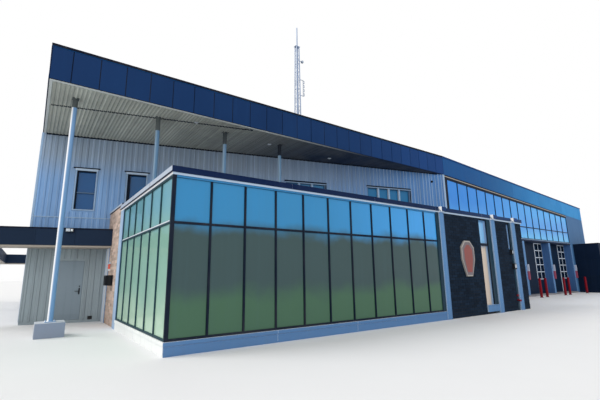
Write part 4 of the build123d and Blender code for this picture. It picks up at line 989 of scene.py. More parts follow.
@dataclass
class Pavilion(SubAssembly):
    """Glazed pavilion at the near corner."""

    finishes = {
        Look.WHITE_METAL: "pavilion_base",
        Look.DARK_FRAME: "front_mullions front_caps",
        Look.SIDE_FRAME: "side_mullions side_caps",
        Look.FRONT_GLASS: "front_glass",
        Look.SIDE_GLASS: "side_glass",
    }

    width: float = 9.295
    depth: float = 5.01
    panel: float = 0.845
    side_panel: float = 0.835
    base_height: float = 0.277
    transom: float = 2.64
    glass_top: float = LOW_TOP
    base_corner: float = 0.055
    cover_depth: float = 0.031

    def build(self) -> None:
        """Shapes the pieces."""
        side = Wall(0.0, self.depth, -90.0)
        self.covers(side)
        post = self.mould("corner_post", Look.DARK_FRAME, 0.004)
        post.box((-0.027, -0.027, self.base_height), (0.050, 0.000, self.glass_top))
        post.box((-0.027, 0.000, self.base_height), (0.000, 0.040, self.glass_top))
        self.base_joints(side)
        rods = self.mould("inner_rods", Look.TRIM_WHITE, smooth=True)
        for place in ((0.30, 0.30), (3.60, 0.34), (7.00, 0.34)):
            rods.post(place, (0.10, self.transom), 0.024, 16)

    def covers(self, side: Wall) -> None:
        """Rounded cover strips on the caps, and the slim covers of the head and the transom."""
        dark = self.mould("cap_covers", Look.DARK_FRAME, 0.002)
        # The side's covers take the lighter painted-sunlight copy of the frame colour.
        pale = self.mould("side_cap_covers", Look.SIDE_FRAME, 0.002)
        glass = (self.base_height, self.glass_top)
        for i in range(1, 11):
            dark.rib(FRONT, around(self.panel * i, 0.020), glass, self.cover_depth, 0.006)
        for i in range(1, 6):
            u = self.depth - self.side_panel * i
            pale.rib(side, around(u, 0.020), glass, self.cover_depth, 0.006)
        out = (0.020, 0.030)
        for height in (self.base_height + 0.025, self.transom):
            dark.block(FRONT, (0.0, self.width), around(height, 0.018), out)
        for height in (self.base_height + 0.025, self.transom, self.glass_top - 0.025):
            pale.block(side, (0.0, self.depth), around(height, 0.018), out)
        head = self.mould("head_cover", Look.HEAD_COVER, 0.002)
        height = (self.glass_top - 0.050, self.glass_top)
        head.block(FRONT, (self.base_corner, self.width), height, (0.020, 0.032))
        ledge = self.mould("side_ledge", Look.SIDING_EDGE, 0.002)
        height = (self.transom + 0.018, self.transom + 0.046)
        ledge.block(side, (0.10, self.depth - 0.05), height, (0.020, 0.034))

    def base_joints(self, side: Wall) -> None:
        """Panels of the base's metal and of its drip edge, with butt joints."""
        mould = self.mould("base_panels", Look.WHITE_METAL, seed=5)
        for wall, length, step in ((FRONT, self.width, 2.568), (side, self.depth, 2.505)):
            count = int(length / step + 0.01)
            for i in range(count):
                left = step * i - (self.base_corner if i == 0 and wall is FRONT else 0.0)
                last = i == count - 1 and wall is side
                right = step * (i + 1) + (self.base_corner if last else 0.0)
                for gap, height, out in (
                    (0.004, (0.030, 0.190), (0.040, 0.043)),
                    (0.002, (0.204, 0.272), (0.055, 0.058)),
                ):
                    tone = mould.pick_tone() * 0.3
                    mould.block(wall, (left + gap, right - gap), height, out, tone, 0.002)


@dataclass
class LowRoof(SubAssembly):
    """Low roof over the pavilion and the brick front."""

    finishes = {
        Look.ROOF_MEMBRANE: "low_roof",
        Look.TRIM_WHITE: "roof_trim",
        Look.ROOF_CAP: "roof_cap",
    }

    depth: float = 5.46
    cap_length: float = 3.05
    face: Span = (3.712, 3.843)
    top: Span = (3.843, 3.848)

    def build(self) -> None:
        """Shapes the pieces."""
        plates = self.mould("cap_joint_plates", Look.ROOF_CAP)
        for i in range(1, 5):
            left, right = around(self.cap_length * i, 0.05)
            plates.box((left, -0.0735, self.face[0]), (right, -0.068, self.face[1]))
            plates.box((left, -0.072, self.top[0]), (right, 0.0, self.top[1]))
        for y in (1.8, 3.7):
            near, far = around(y, 0.05)
            plates.box((-0.0735, near, self.face[0]), (-0.068, far, self.face[1]))
            plates.box((-0.072, near, self.top[0]), (0.0, far, self.top[1]))
        # Painted shadow: dark strip between the roof trim and the cap on the left side.
        foot = self.mould("cap_foot", Look.NAVY_SHADE)
        foot.box((-0.0750, -0.0750, 3.7105), (-0.0700, self.depth, 3.7300))
        self.cap_ends()
        seams = self.mould("low_roof_seams", Look.ROOF_MEMBRANE)
        for y in range(1, 7):
            left = 0.02 if y < self.depth else 0.35
            right = min(15.38, OBLIQUE.x - (y - OBLIQUE.y) / math.tan(SLANT) - 0.1)
            seams.box((left, y, 3.800), (right, y + 0.08, 3.804))

    def cap_ends(self) -> None:
        """Folded ends of the cap where it steps out over the posts, with white painted sunlight on
        their left faces.
        """
        plates = self.mould("cap_end_plates", Look.CAP_END)
        noses = self.mould("cap_noses", Look.NAVY_METAL, 0.004)
        for left, right in POSTS:
            # White triangle of painted sunlight on each step's left face; its slant stands for a cast
            # shadow's edge.
            corners = ((0.190, 3.665), (0.190, 3.850), (0.010, 3.850))
            plates.prism(Wall(left, 0.0, -90.0), corners, 0.0, 0.010)
            noses.box((left, -0.190, 3.715), (right, -0.131, 3.847))


@dataclass
class BrickFront(SubAssembly):
    """Dark brick front with its windows, posts and plaque."""

    finishes = {
        Look.BLACK_MORTAR: "brick_front",
        Look.CLAD_METAL: "clad_posts brick_window_frames",
        Look.PLAQUE_RIM: "plaque",
    }

    left: float = 9.295
    right: float = 15.43
    top: float = LOW_TOP
    tall_window: Hole = (11.965, 0.08, 12.525, 3.60)
    slot_window: Hole = (14.160, 2.50, 14.360, 3.57)
    plaque: Hole = (10.50, 1.415, 11.33, 2.715)
    plaque_corner: float = 0.24
    plaque_taper: float = 0.60

    def build(self) -> None:
        """Shapes the pieces."""
        bricks = self.mould("front_bricks", Look.BLACK_BRICK, seed=21)
        windows = (self.tall_window, self.slot_window)
        ends = (self.tall_window[2], self.slot_window[2], self.right)
        for post, end in zip(POSTS, ends):
            bricks.bricks(FRONT, (post[1], end), self.top, windows)
        bricks.bricks(Wall(self.right, 0.0, 90.0), (0.0, HALL), self.top)
        self.post_edges()
        self.sill_panel()
        self.plaque_fields()

    def post_edges(self) -> None:
        """Dark panels beside the posts, and the folded edges of the posts."""
        dark = self.mould("post_side_panels", Look.TEAL_METAL)
        span = (self.left - 0.17, self.left)
        dark.block(FRONT, span, (0.277, self.top), (0.0, 0.035), 0.0, 0.002)
        for window, post in ((self.tall_window, POSTS[1]), (self.slot_window, POSTS[2])):
            span = (window[2] + 0.004, post[0])
            dark.block(FRONT, span, (0.0, self.top), (0.0, 0.014), 0.0, 0.002)
        pale = self.mould("post_faces", Look.CLAD_METAL)
        height = (0.02, self.top)
        for left, right in POSTS:
            pale.block(FRONT, (left + 0.004, right - 0.09), height, (0.060, 0.066), 0.5, 0.003)
            pale.block(FRONT, (right - 0.085, right - 0.004), height, (0.060, 0.063), -0.4, 0.002)

    def sill_panel(self) -> None:
        """Clad panel under the tall window, joined to the post's foot, and the window's transom."""
        sill = self.mould("sill_panel", Look.CLAD_METAL)
        left, low, right, _ = self.tall_window
        span = (left - 0.02, POSTS[1][0])
        sill.block(FRONT, span, (low, low + 0.23), (-0.040, 0.050), 0.3, 0.003)
        sill.block(FRONT, span, (low + 0.23, low + 0.25), (-0.040, 0.062))
        bar = self.mould("tall_window_transom", Look.DARK_FRAME, 0.003)
        bar.block(FRONT, (left + 0.04, right - 0.03), (2.58, 2.68), (-0.060, -0.010))

    def plaque_outline(self, inset: float) -> list[Span]:
        """The plaque's outline, moved in."""
        left, low, right, high = self.plaque
        corner, taper = self.plaque_corner, self.plaque_taper
        near = inset * 0.55
        return [
            (left + corner + near * 0.4, low + inset), (right - corner - near * 0.4, low + inset),
            (right - inset, low + taper + near * 0.3), (right - inset, high - corner - near),
            (right - corner - near, high - inset), (left + corner + near, high - inset),
            (left + inset, high - corner - near), (left + inset, low + taper + near * 0.3),
        ]

    def plaque_fields(self) -> None:
        """Coloured fields inside the plaque's rim, with nothing on them."""
        band = self.mould("plaque_band", Look.PLAQUE_BAND, 0.002)
        band.prism(FRONT, self.plaque_outline(0.045), 0.060, 0.066)
        middle = self.mould("plaque_field", Look.PLAQUE_RED, 0.002)
        middle.prism(FRONT, self.plaque_outline(0.150), 0.066, 0.071, 0.3)
        rim = self.mould("plaque_rim", Look.PLAQUE_RIM, 0.003)
        rim.prism(FRONT, self.plaque_outline(0.012), 0.056, 0.0635)


@dataclass
class StubWall(SubAssembly):
    """Pale brick wall between the pavilion and the metal wall."""

    finishes = {Look.PALE_MORTAR: "brick_stub", Look.ROOF_CAP: "stub_cap"}

    start: float = 5.46
    recess: float = 0.25
    top: float = 3.90

    def build(self) -> None:
        """Shapes the pieces."""
        end = oblique_y(0.0)
        wall = Wall(0.0, end, -90.0)
        bricks = self.mould("stub_bricks", Look.PINK_BRICK, seed=31)
        bricks.bricks(wall, (0.0, end - self.start - self.recess), self.top)
        # Painted shadow: dark strip under the stub's cap.
        shadow = self.mould("stub_cap_joint", Look.NAVY_SHADE)
        shadow.block(wall, (0.0, end - self.start), (self.top - 0.030, self.top), (0.004, 0.012))
        panel = self.mould("stub_panel_face", Look.SIDING_EDGE)
        panel.block(wall, (0.062, 0.608), (0.0, 2.575), (0.025, 0.030), 0.4, 0.003)
        panel.block(wall, (0.062, 0.100), (0.0, 2.575), (0.030, 0.040), -0.4)


@dataclass
class MetalWalls(SubAssembly):
    """Ribbed metal walls of the tall building, with their windows."""

    finishes = {
        Look.SIDING: "metal_wall door_wall_upper",
        Look.SIDING_REST: "left_wall right_wall back_wall back_wall_upper",
        Look.LOW_SIDING: "door_wall_sides",
        Look.END_METAL: "end_wall",
        Look.WINDOW_FRAME: "wall_window_frames",
        Look.WINDOW_GLASS: "window_glass",
        Look.CONCRETE: "inner_frame ground_floor upper_floor",
    }

    upright_windows: tuple[Hole, ...] = (
        (-17.562, 3.99, -16.792, 5.58), (-15.822, 3.99, -15.022, 5.58)
    )
    wide_windows: tuple[Hole, ...] = (
        (-9.200, 4.60, -7.200, 5.76), (-4.900, 4.60, -2.360, 5.83)
    )
    lights: tuple[int, ...] = (3, 4)
    plain_height: Span = (3.99, 5.58)
    plain_width: float = 0.8
    bay_window: Hole = (-1.6, 4.30, 1.6, 5.30)
    door: Hole = (-17.900, 0.0, -16.900, 2.20)
    corner: float = -18.742
    canopy_top: float = 3.24
    module: tuple[Span, ...] = ((0.000, 0.090), (0.205, 0.080), (0.365, 0.120), (0.610, 0.090))
    pitch: float = 0.815
    rib_depth: float = 0.026
    rib_slant: float = 0.016
    left_length: float = BACK - oblique_y(LEFT)
    left_windows: list[Hole] = field(init=False)
    rear_windows: list[Hole] = field(init=False)
    rear_doors: list[Hole] = field(init=False)

    def __post_init__(self) -> None:
        """Places the openings of the hidden sides."""
        self.left_windows = [self.plain_window(1.5 + 3.0 * i) for i in range(5)]
        self.rear_windows = [
            self.plain_window(RIGHT - (LEFT + 1.8 + 3.3 * i) - self.plain_width) for i in range(5)
        ]
        self.rear_doors = []
        left, low, right, high = self.bay_window
        for i in range(4):
            centre = RIGHT - (BAYS + BAY * (i + 0.5))
            self.rear_windows.append((centre + left, low, centre + right, high))
            edge = RIGHT - (BAYS + BAY * (i + 1))
            self.rear_doors.append((edge, 0.10, edge + BAY - PIER, 3.60))

    def build(self) -> None:
        """Shapes the pieces."""
        self.oblique_ribs()
        self.plain_ribs()
        self.window_trims()
        self.plain_trims()
        self.corner_trims()

    def plain_window(self, left: float) -> Hole:
        """A hidden side's window with its left edge given."""
        return (left, self.plain_height[0], left + self.plain_width, self.plain_height[1])

    def ribs(
        self, mould: Mould, wall: Wall, along: Span, height: Span, holes: Sequence[Hole] = (),
        margin: float = 0.05, top_at: Callable[[float], float] | None = None,
    ) -> None:
        """Ribs of one stretch of wall, clear of its openings.

        Args:
            mould: takes the ribs.
            wall: the face that they stand on.
            along: the stretch's ends.
            height: its bottom and top.
            holes: its openings.
            margin: distance to keep from them.
            top_at: height of a falling top, by the distance along the wall.
        """
        start = along[0]
        while start < along[1]:
            for offset, width in self.module:
                rib = (start + offset, start + offset + width)
                if rib[1] > along[1] - 0.02:
                    continue
                high = min(height[1], top_at(rib[0])) if top_at else height[1]
                for run in clear_runs(rib, (height[0], high), holes, margin):
                    mould.rib(wall, rib, run, self.rib_depth, self.rib_slant, mould.pick_tone())
            start += self.pitch

    def oblique_ribs(self) -> None:
        """Ribs of the oblique wall, over and under the canopy."""
        mould = self.mould("oblique_ribs", Look.SIDING, seed=41)
        windows = self.upright_windows + self.wide_windows
        for along, height in (
            ((-18.70, -16.26), (self.canopy_top, 3.70)),
            ((-18.70, -16.26), (3.74, EAVE)),
            ((-16.26, -15.93), (3.96, EAVE)),
            ((-15.93, -0.10), (3.804, EAVE)),
        ):
            self.ribs(mould, OBLIQUE, along, height, windows)
        low = self.mould("low_ribs", Look.LOW_SIDING, seed=42)
        self.ribs(low, OBLIQUE, (-18.70, -16.26), (0.10, 2.62), (self.door,), 0.03)
        low.block(OBLIQUE, (-18.74, -16.262), (2.20, 2.64), (0.0, 0.0015))
        low.block(OBLIQUE, (self.corner, -18.692), (0.10, 2.64), (0.0, 0.030))

    def plain_ribs(self) -> None:
        """Ribs of the left, the right and the back wall."""
        side = self.mould("side_ribs", Look.SIDING_REST, seed=43)
        span = (0.06, self.left_length - 0.06)
        self.ribs(side, HALL_LEFT, span, (3.25, EAVE), self.left_windows)
        self.ribs(side, HALL_LEFT, (0.84, self.left_length - 0.84), (0.02, self.canopy_top))
        self.ribs(side, HALL_RIGHT, (0.06, 22.24), (0.02, 5.74))
        rear = self.mould("rear_ribs", Look.SIDING_REST, seed=44)
        holes = self.rear_doors + self.rear_windows

        def top(along: float) -> float:
            """Top of a rib at a distance along the back."""
            return eave_at(RIGHT - along) - 0.01

        self.ribs(rear, BACK_WALL, (0.06, 37.48), (0.02, EAVE), holes, 0.06, top)

    def window_trims(self) -> None:
        """Pale heads and surrounds of the oblique wall's windows, their flashings and bars, and
        painted shadow strips in their reveals.
        """
        heads = self.mould("window_heads", Look.TRIM_WHITE, 0.003)
        bars = self.mould("window_bar", Look.WINDOW_FRAME, 0.003)
        pale = self.mould("window_trims", Look.SIDING_EDGE, 0.003)
        dark = self.mould("window_flashings", Look.DARK_FRAME, 0.003)
        reveal = (-0.10, -0.03)
        for (left, low, right, high), shade in zip(self.upright_windows, (0.04, 0.10)):
            inner = (left + 0.065, low + 0.05, right - 0.055, high - 0.05)
            pale.ring(OBLIQUE, inner, 0.05, (-0.03, 0.034))
            top = high + 0.025
            heads.block(OBLIQUE, (left + 0.01, right), (high - 0.055, top), (0.030, 0.042), 0.4)
            dark.block(OBLIQUE, (left - 0.06, right + 0.06), (top, top + 0.040), (0.0, 0.055))
            # Painted shadow: dark strips along the left jamb and the head inside the reveal.
            dark.block(OBLIQUE, (inner[0], inner[0] + shade), (inner[1], inner[3]), reveal)
            dark.block(OBLIQUE, (inner[0], inner[2]), (inner[3] - 0.05, inner[3]), reveal)
        left, low, right, _ = self.upright_windows[0]
        height = (low + 0.67, low + 0.715)
        bars.block(OBLIQUE, (left + 0.105, right - 0.055), height, (-0.10, -0.035))
        for (left, low, right, high), lights in zip(self.wide_windows, self.lights):
            wide = (left - 0.05, right + 0.05)
            dark.block(OBLIQUE, wide, (high, high + 0.07), (0.0, 0.045))
            dark.block(OBLIQUE, (left - 0.03, right + 0.03), (low - 0.04, low), (0.0, 0.040))
            pale.block(OBLIQUE, wide, (high - 0.035, high), (0.0, 0.038))
            step = (right - left - 0.05) / lights
            for n in range(1, lights):
                u = left + 0.025 + step * n
                pale.block(OBLIQUE, (u - 0.05, u + 0.035), (low, high - 0.035), (-0.10, 0.008))
            dark.block(OBLIQUE, (right, right + 0.045), (low, high), (0.0, 0.036))

    def plain_trims(self) -> None:
        """Surrounds of the windows and doors on the hidden sides."""
        plain = self.mould("plain_window_trims", Look.SIDING_EDGE, 0.003)
        out = (0.0, 0.034)
        for wall, holes in ((HALL_LEFT, self.left_windows), (BACK_WALL, self.rear_windows)):
            for hole in holes:
                plain.ring(wall, hole, 0.05, out)
        for left, _, right, high in self.rear_doors:
            plain.block(BACK_WALL, (left - 0.05, left), (0.02, high + 0.05), out)
            plain.block(BACK_WALL, (right, right + 0.05), (0.02, high + 0.05), out)
            plain.block(BACK_WALL, (left, right), (high, high + 0.05), out)

    def corner_trims(self) -> None:
        """Corner, joint and base flashings of the walls."""
        mould = self.mould("corner_trims", Look.SIDING_EDGE, 0.003)
        out = (0.0, 0.030)
        mould.block(OBLIQUE, (self.corner, self.corner + 0.05), (self.canopy_top, EAVE), out)
        mould.block(OBLIQUE, (-0.11, 0.0), (3.804, EAVE - 0.02), (0.0, 0.034), 0.5)
        mould.block(OBLIQUE, (-18.69, -16.26), (3.700, 3.740), (0.0, 0.029), 0.2)
        for left in (self.left_length - 0.06, 0.0):
            mould.block(HALL_LEFT, (left, left + 0.06), (3.25, EAVE), out)
        for left in (0.0, 22.24):
            mould.block(HALL_RIGHT, (left, left + 0.06), (0.02, 5.745), out)


@dataclass
class ServiceDoor(SubAssembly):
    """Side-hung service door under the canopy."""

    finishes = {
        Look.LOW_SIDING: "door_frame",
        Look.DOOR_SKIN: "door_leaf",
        Look.LAMP_DARK: "door_handle",
        Look.STAINLESS: "frame_hinges leaf_hinges",
    }

    left: float = -17.844
    right: float = -16.956
    lock_height: float = 1.25

    def build(self) -> None:
        """Shapes the pieces."""
        left, right = self.left, self.right
        skin = self.mould("door_skin", Look.DOOR_SKIN, body=SERVICE_DOOR)
        span = (left + 0.010, right - 0.010)
        skin.block(OBLIQUE, span, (0.116, 2.134), (0.005, 0.0075), 0.0, 0.002)
        skin.block(OBLIQUE, (left + 0.03, right - 0.03), (0.125, 0.30), (0.0075, 0.0090), -0.6)
        lock = self.mould("door_lock", Look.LAMP_DARK, smooth=True, body=SERVICE_DOOR)
        ends = (OBLIQUE.point(right - 0.08, self.lock_height, out) for out in (0.005, 0.020))
        lock.rod(*ends, 0.022, 16)
        edge = self.mould("door_frame_face", Look.LOW_SIDING)
        edge.block(OBLIQUE, (-17.90, -17.86), (0.10, 2.20), (0.0, 0.004), 0.4)
        edge.block(OBLIQUE, (-16.94, -16.90), (0.10, 2.20), (0.0, 0.012), 0.4)
        edge.block(OBLIQUE, (-17.86, -16.94), (2.16, 2.20), (0.0, 0.004), 0.4)


@dataclass
class MainRoof(SubAssembly):
    """Overhanging roof with its fascias, soffit and deck."""

    finishes = {
        Look.NAVY_SHADE: "fascia_left",
        Look.BLUE_METAL: "fascia_right",
        Look.ROOF_MEMBRANE: "roof_deck",
        Look.SOFFIT_METAL: "soffit",
        Look.EAVE_TRIM: "eave_trim",
    }

    height: float = 1.053
    coping: float = 0.070
    coping_out: float = 0.025
    coping_width: float = 0.12
    coping_length: float = 3.05
    panel: float = 0.705
    first_joint: float = -1.910
    falling_joints: tuple[float, ...] = (KINK, 19.60, 23.48, 27.36, 31.24)
    rib_pitch: float = 0.110
    joint_at_zero: float = 4.92
    joint_slope: float = 0.2607
    seam_pitch: float = 2.0

    def build(self) -> None:
        """Shapes the pieces."""
        self.panels()
        self.level_coping()
        self.falling_coping()
        self.coping_flashing()
        self.soffit_ribs()
        self.roof_seams()

    def lengths(self, end: float) -> list[Span]:
        """Left and right end of each length of the falling roof."""
        return list(zip(self.falling_joints, (*self.falling_joints[1:], end)))

    def panels(self) -> None:
        """Flat panels of the level fascia with open joints, and long ones of the falling fascia."""
        level = self.mould("fascia_panels_left", Look.NAVY_METAL, seed=61)
        top = self.height - self.coping - 0.022
        height = (EAVE + 0.008, EAVE + top)
        joints = [LEFT]
        joint = self.first_joint
        while joint < KINK - 0.3:
            joints.append(joint)
            joint += self.panel
        for start, end in zip(joints, (*joints[1:], KINK)):
            span = (start + 0.011, end - 0.011)
            level.block(HALL_FRONT, span, height, (0.0, 0.012), level.pick_tone(), 0.002)
        for wall, length in ((HALL_LEFT, BACK - HALL), (Wall(KINK, BACK, 180.0), KINK - LEFT)):
            count = round(length / self.panel)
            level.panels(wall, (0.0, length), count, 0.011, (height,), 0.012)
        fallen = self.mould("fascia_panels_right", Look.BLUE_METAL, seed=62)
        for start, end in self.lengths(RIGHT):
            tone = fallen.pick_tone() * 0.6
            outline = falling(start + 0.004, end - 0.004, 0.008, top)
            fallen.prism(HALL_FRONT, outline, 0.0, 0.010, tone)
            fallen.prism(HALL_REAR, mirrored(outline), 0.0, 0.010, tone)
        eave = eave_at(RIGHT)
        heights = ((eave + 0.008, eave + 0.96),)
        fallen.panels(HALL_RIGHT, (0.0, BACK - HALL), 6, 0.004, heights, 0.010, 0.6)

    def level_coping(self) -> None:
        """Coping plates over the level fascia."""
        mould = self.mould("coping_left", Look.NAVY_SHADE, 0.004, 63)
        top = EAVE + self.height + 0.004
        low = EAVE + self.height - self.coping
        out = self.coping_out + 0.004
        rows = ((HALL - out, HALL + self.coping_width), (BACK - self.coping_width, BACK + out))
        x = LEFT - self.coping_out
        while x < KINK - 0.1:
            end = min(KINK, x + self.coping_length)
            for near, far in rows:
                mould.box((x + 0.003, near, low), (end - 0.003, far, top), mould.pick_tone())
            x = end
        y = HALL
        while y < BACK - 0.2:
            end = min(BACK - self.coping_width, y + self.coping_length)
            near = y + 0.003 + (self.coping_width if y == HALL else 0.0)
            mould.box((LEFT - out, near, low), (LEFT + 0.25, end - 0.003, top), mould.pick_tone())
            y = end

    def falling_coping(self) -> None:
        """Coping plates over the falling fascia."""
        mould = self.mould("coping_right", Look.NAVY_METAL, 0.004, 64)
        low, top = self.height - self.coping, self.height + 0.004
        out = self.coping_out + 0.004
        for start, end in self.lengths(RIGHT + self.coping_out):
            outline = falling(start + 0.003, end - 0.003, low, top)
            for wall, shape in ((HALL_FRONT, outline), (HALL_REAR, mirrored(outline))):
                mould.prism(wall, shape, -self.coping_width, out, mould.pick_tone() * 0.4)
        eave = eave_at(RIGHT)
        span = (self.coping_width, BACK - HALL - self.coping_width)
        mould.block(HALL_RIGHT, span, (eave + low, eave + top), (-0.25, out))

    def coping_flashing(self) -> None:
        """Slim line under the level coping."""
        line = self.mould("coping_flashing", Look.BLUE_METAL)
        low = EAVE + self.height - self.coping
        left = LEFT - 0.014
        for near, right, far in (
            (HALL - 0.014, KINK, HALL), (HALL, LEFT, BACK), (BACK, KINK, BACK + 0.014)
        ):
            line.box((left, near, low - 0.016), (right, far, low))

    def soffit_ribs(self) -> None:
        """Ribs of the soffit's metal deck, cut by an open joint along the column line."""
        ribs = self.mould("soffit_ribs", Look.SOFFIT_METAL, seed=66)
        dark = self.mould("soffit_joint", Look.DARK_FRAME)
        x = LEFT + 0.14
        while x < KINK - 0.9:
            wall_y = oblique_y(x) - 0.012
            joint = self.joint_at_zero - self.joint_slope * x
            runs = [(HALL + 0.135, wall_y)]
            if HALL + 0.20 < joint:
                near, far = around(joint, 0.03)
                runs = [(HALL + 0.135, near), (far, wall_y)]
                right = x + self.rib_pitch * 0.72
                dark.box((x - 0.01, near, EAVE - 0.0245), (right, far, EAVE - 0.001))
            tone = ribs.pick_tone()
            for run in runs:
                if run[1] - run[0] > 0.05:
                    self.deck_rib(ribs, x, run, tone)
            x += self.rib_pitch
        low, high = EAVE - 0.0025, EAVE - 0.0003
        near = HALL + 0.09
        ribs.box((LEFT + 0.09, near, low), (LEFT + 0.252, 8.34, high))
        ribs.box((LEFT + 0.252, near, low), (KINK - 1.2, near + 0.045, high))
        edge = self.mould("soffit_wall_angle", Look.DARK_FRAME)
        span = ((LEFT + 0.10 - KINK) / math.cos(SLANT) + 0.02, -0.5)
        edge.block(OBLIQUE, span, (EAVE - 0.060, EAVE - 0.001), (0.0, 0.030))

    def deck_rib(self, mould: Mould, x: float, run: Span, tone: float) -> None:
        """One rib that hangs from the soffit and runs along Y."""
        top, low = EAVE - 0.0005, EAVE - 0.017
        foot, slant = self.rib_pitch * 0.58, self.rib_pitch * 0.16
        profile = ((x, top), (x + slant, low), (x + foot - slant, low), (x + foot, top))
        points = [Vector((u, y, z)) for y in run for u, z in profile]
        faces = [(i + 4, i + 5, i + 1, i) for i in range(3)] + [(0, 1, 2, 3), (7, 6, 5, 4)]
        mould.add(points, faces, tone)

    def roof_seams(self) -> None:
        """Welded seams of the deck's membrane and its roof drains."""
        seams = self.mould("deck_seams", Look.ROOF_MEMBRANE)
        deck = self.height - 0.085
        outline = falling(KINK, RIGHT - 0.26, deck, deck + 0.004)
        low = EAVE + deck
        for i in range(11):
            y = HALL + 1.0 + self.seam_pitch * i
            seams.box((LEFT + 0.26, y, low), (KINK, y + 0.10, low + 0.004))
            seams.prism(Wall(0.0, y + 0.10), outline, 0.0, 0.10)
        drains = self.mould("roof_drains", Look.GALVANISED, smooth=True)
        for place in ((3.0, 12.0), (3.0, 20.0), (11.0, 14.0), (11.0, 22.0)):
            drains.post(place, (low, low + 0.05), 0.16, 20, 0.10)


@dataclass
class Columns(SubAssembly):
    """Round columns under the overhang, with their pier."""

    finishes = {Look.COLUMN_STEEL: "columns", Look.PIER_CONCRETE: "column_pier"}
    round_nodes = ("columns",)

    line: float = 4.70
    places: tuple[float, ...] = (-1.70, 0.75, 3.20, 5.65)
    feet: tuple[float, ...] = (0.38, 3.80, 3.80, 3.80)
    collars: tuple[float, ...] = (6.58, 6.40, 6.40, 6.40)
    collar_top: float = 6.867
    soffit: float = 6.8815

    def build(self) -> None:
        """Shapes the pieces."""
        # Grey sleeves on the column tops are painted shade under the soffit, below square head
        # plates.
        heads = self.mould("column_collars", Look.COLLAR_STEEL, smooth=True)
        plates = self.mould("column_plates", Look.COLUMN_STEEL, smooth=True)
        y = self.line
        for x, foot, shade_start in zip(self.places, self.feet, self.collars):
            heads.post((x, y), (shade_start, self.collar_top), 0.0735, 32)
            heads.box((x - 0.10, y - 0.10, self.collar_top), (x + 0.10, y + 0.10, self.soffit))
            plates.box((x - 0.13, y - 0.13, foot), (x + 0.13, y + 0.13, foot + 0.020))
            plates.post((x, y), (foot + 0.02, foot + 0.035), 0.08, 32)
            for dx, dy in ((-0.105, -0.105), (0.105, -0.105), (0.105, 0.105), (-0.105, 0.105)):
                plates.post((x + dx, y + dy), (foot + 0.02, foot + 0.05), 0.012, 6)


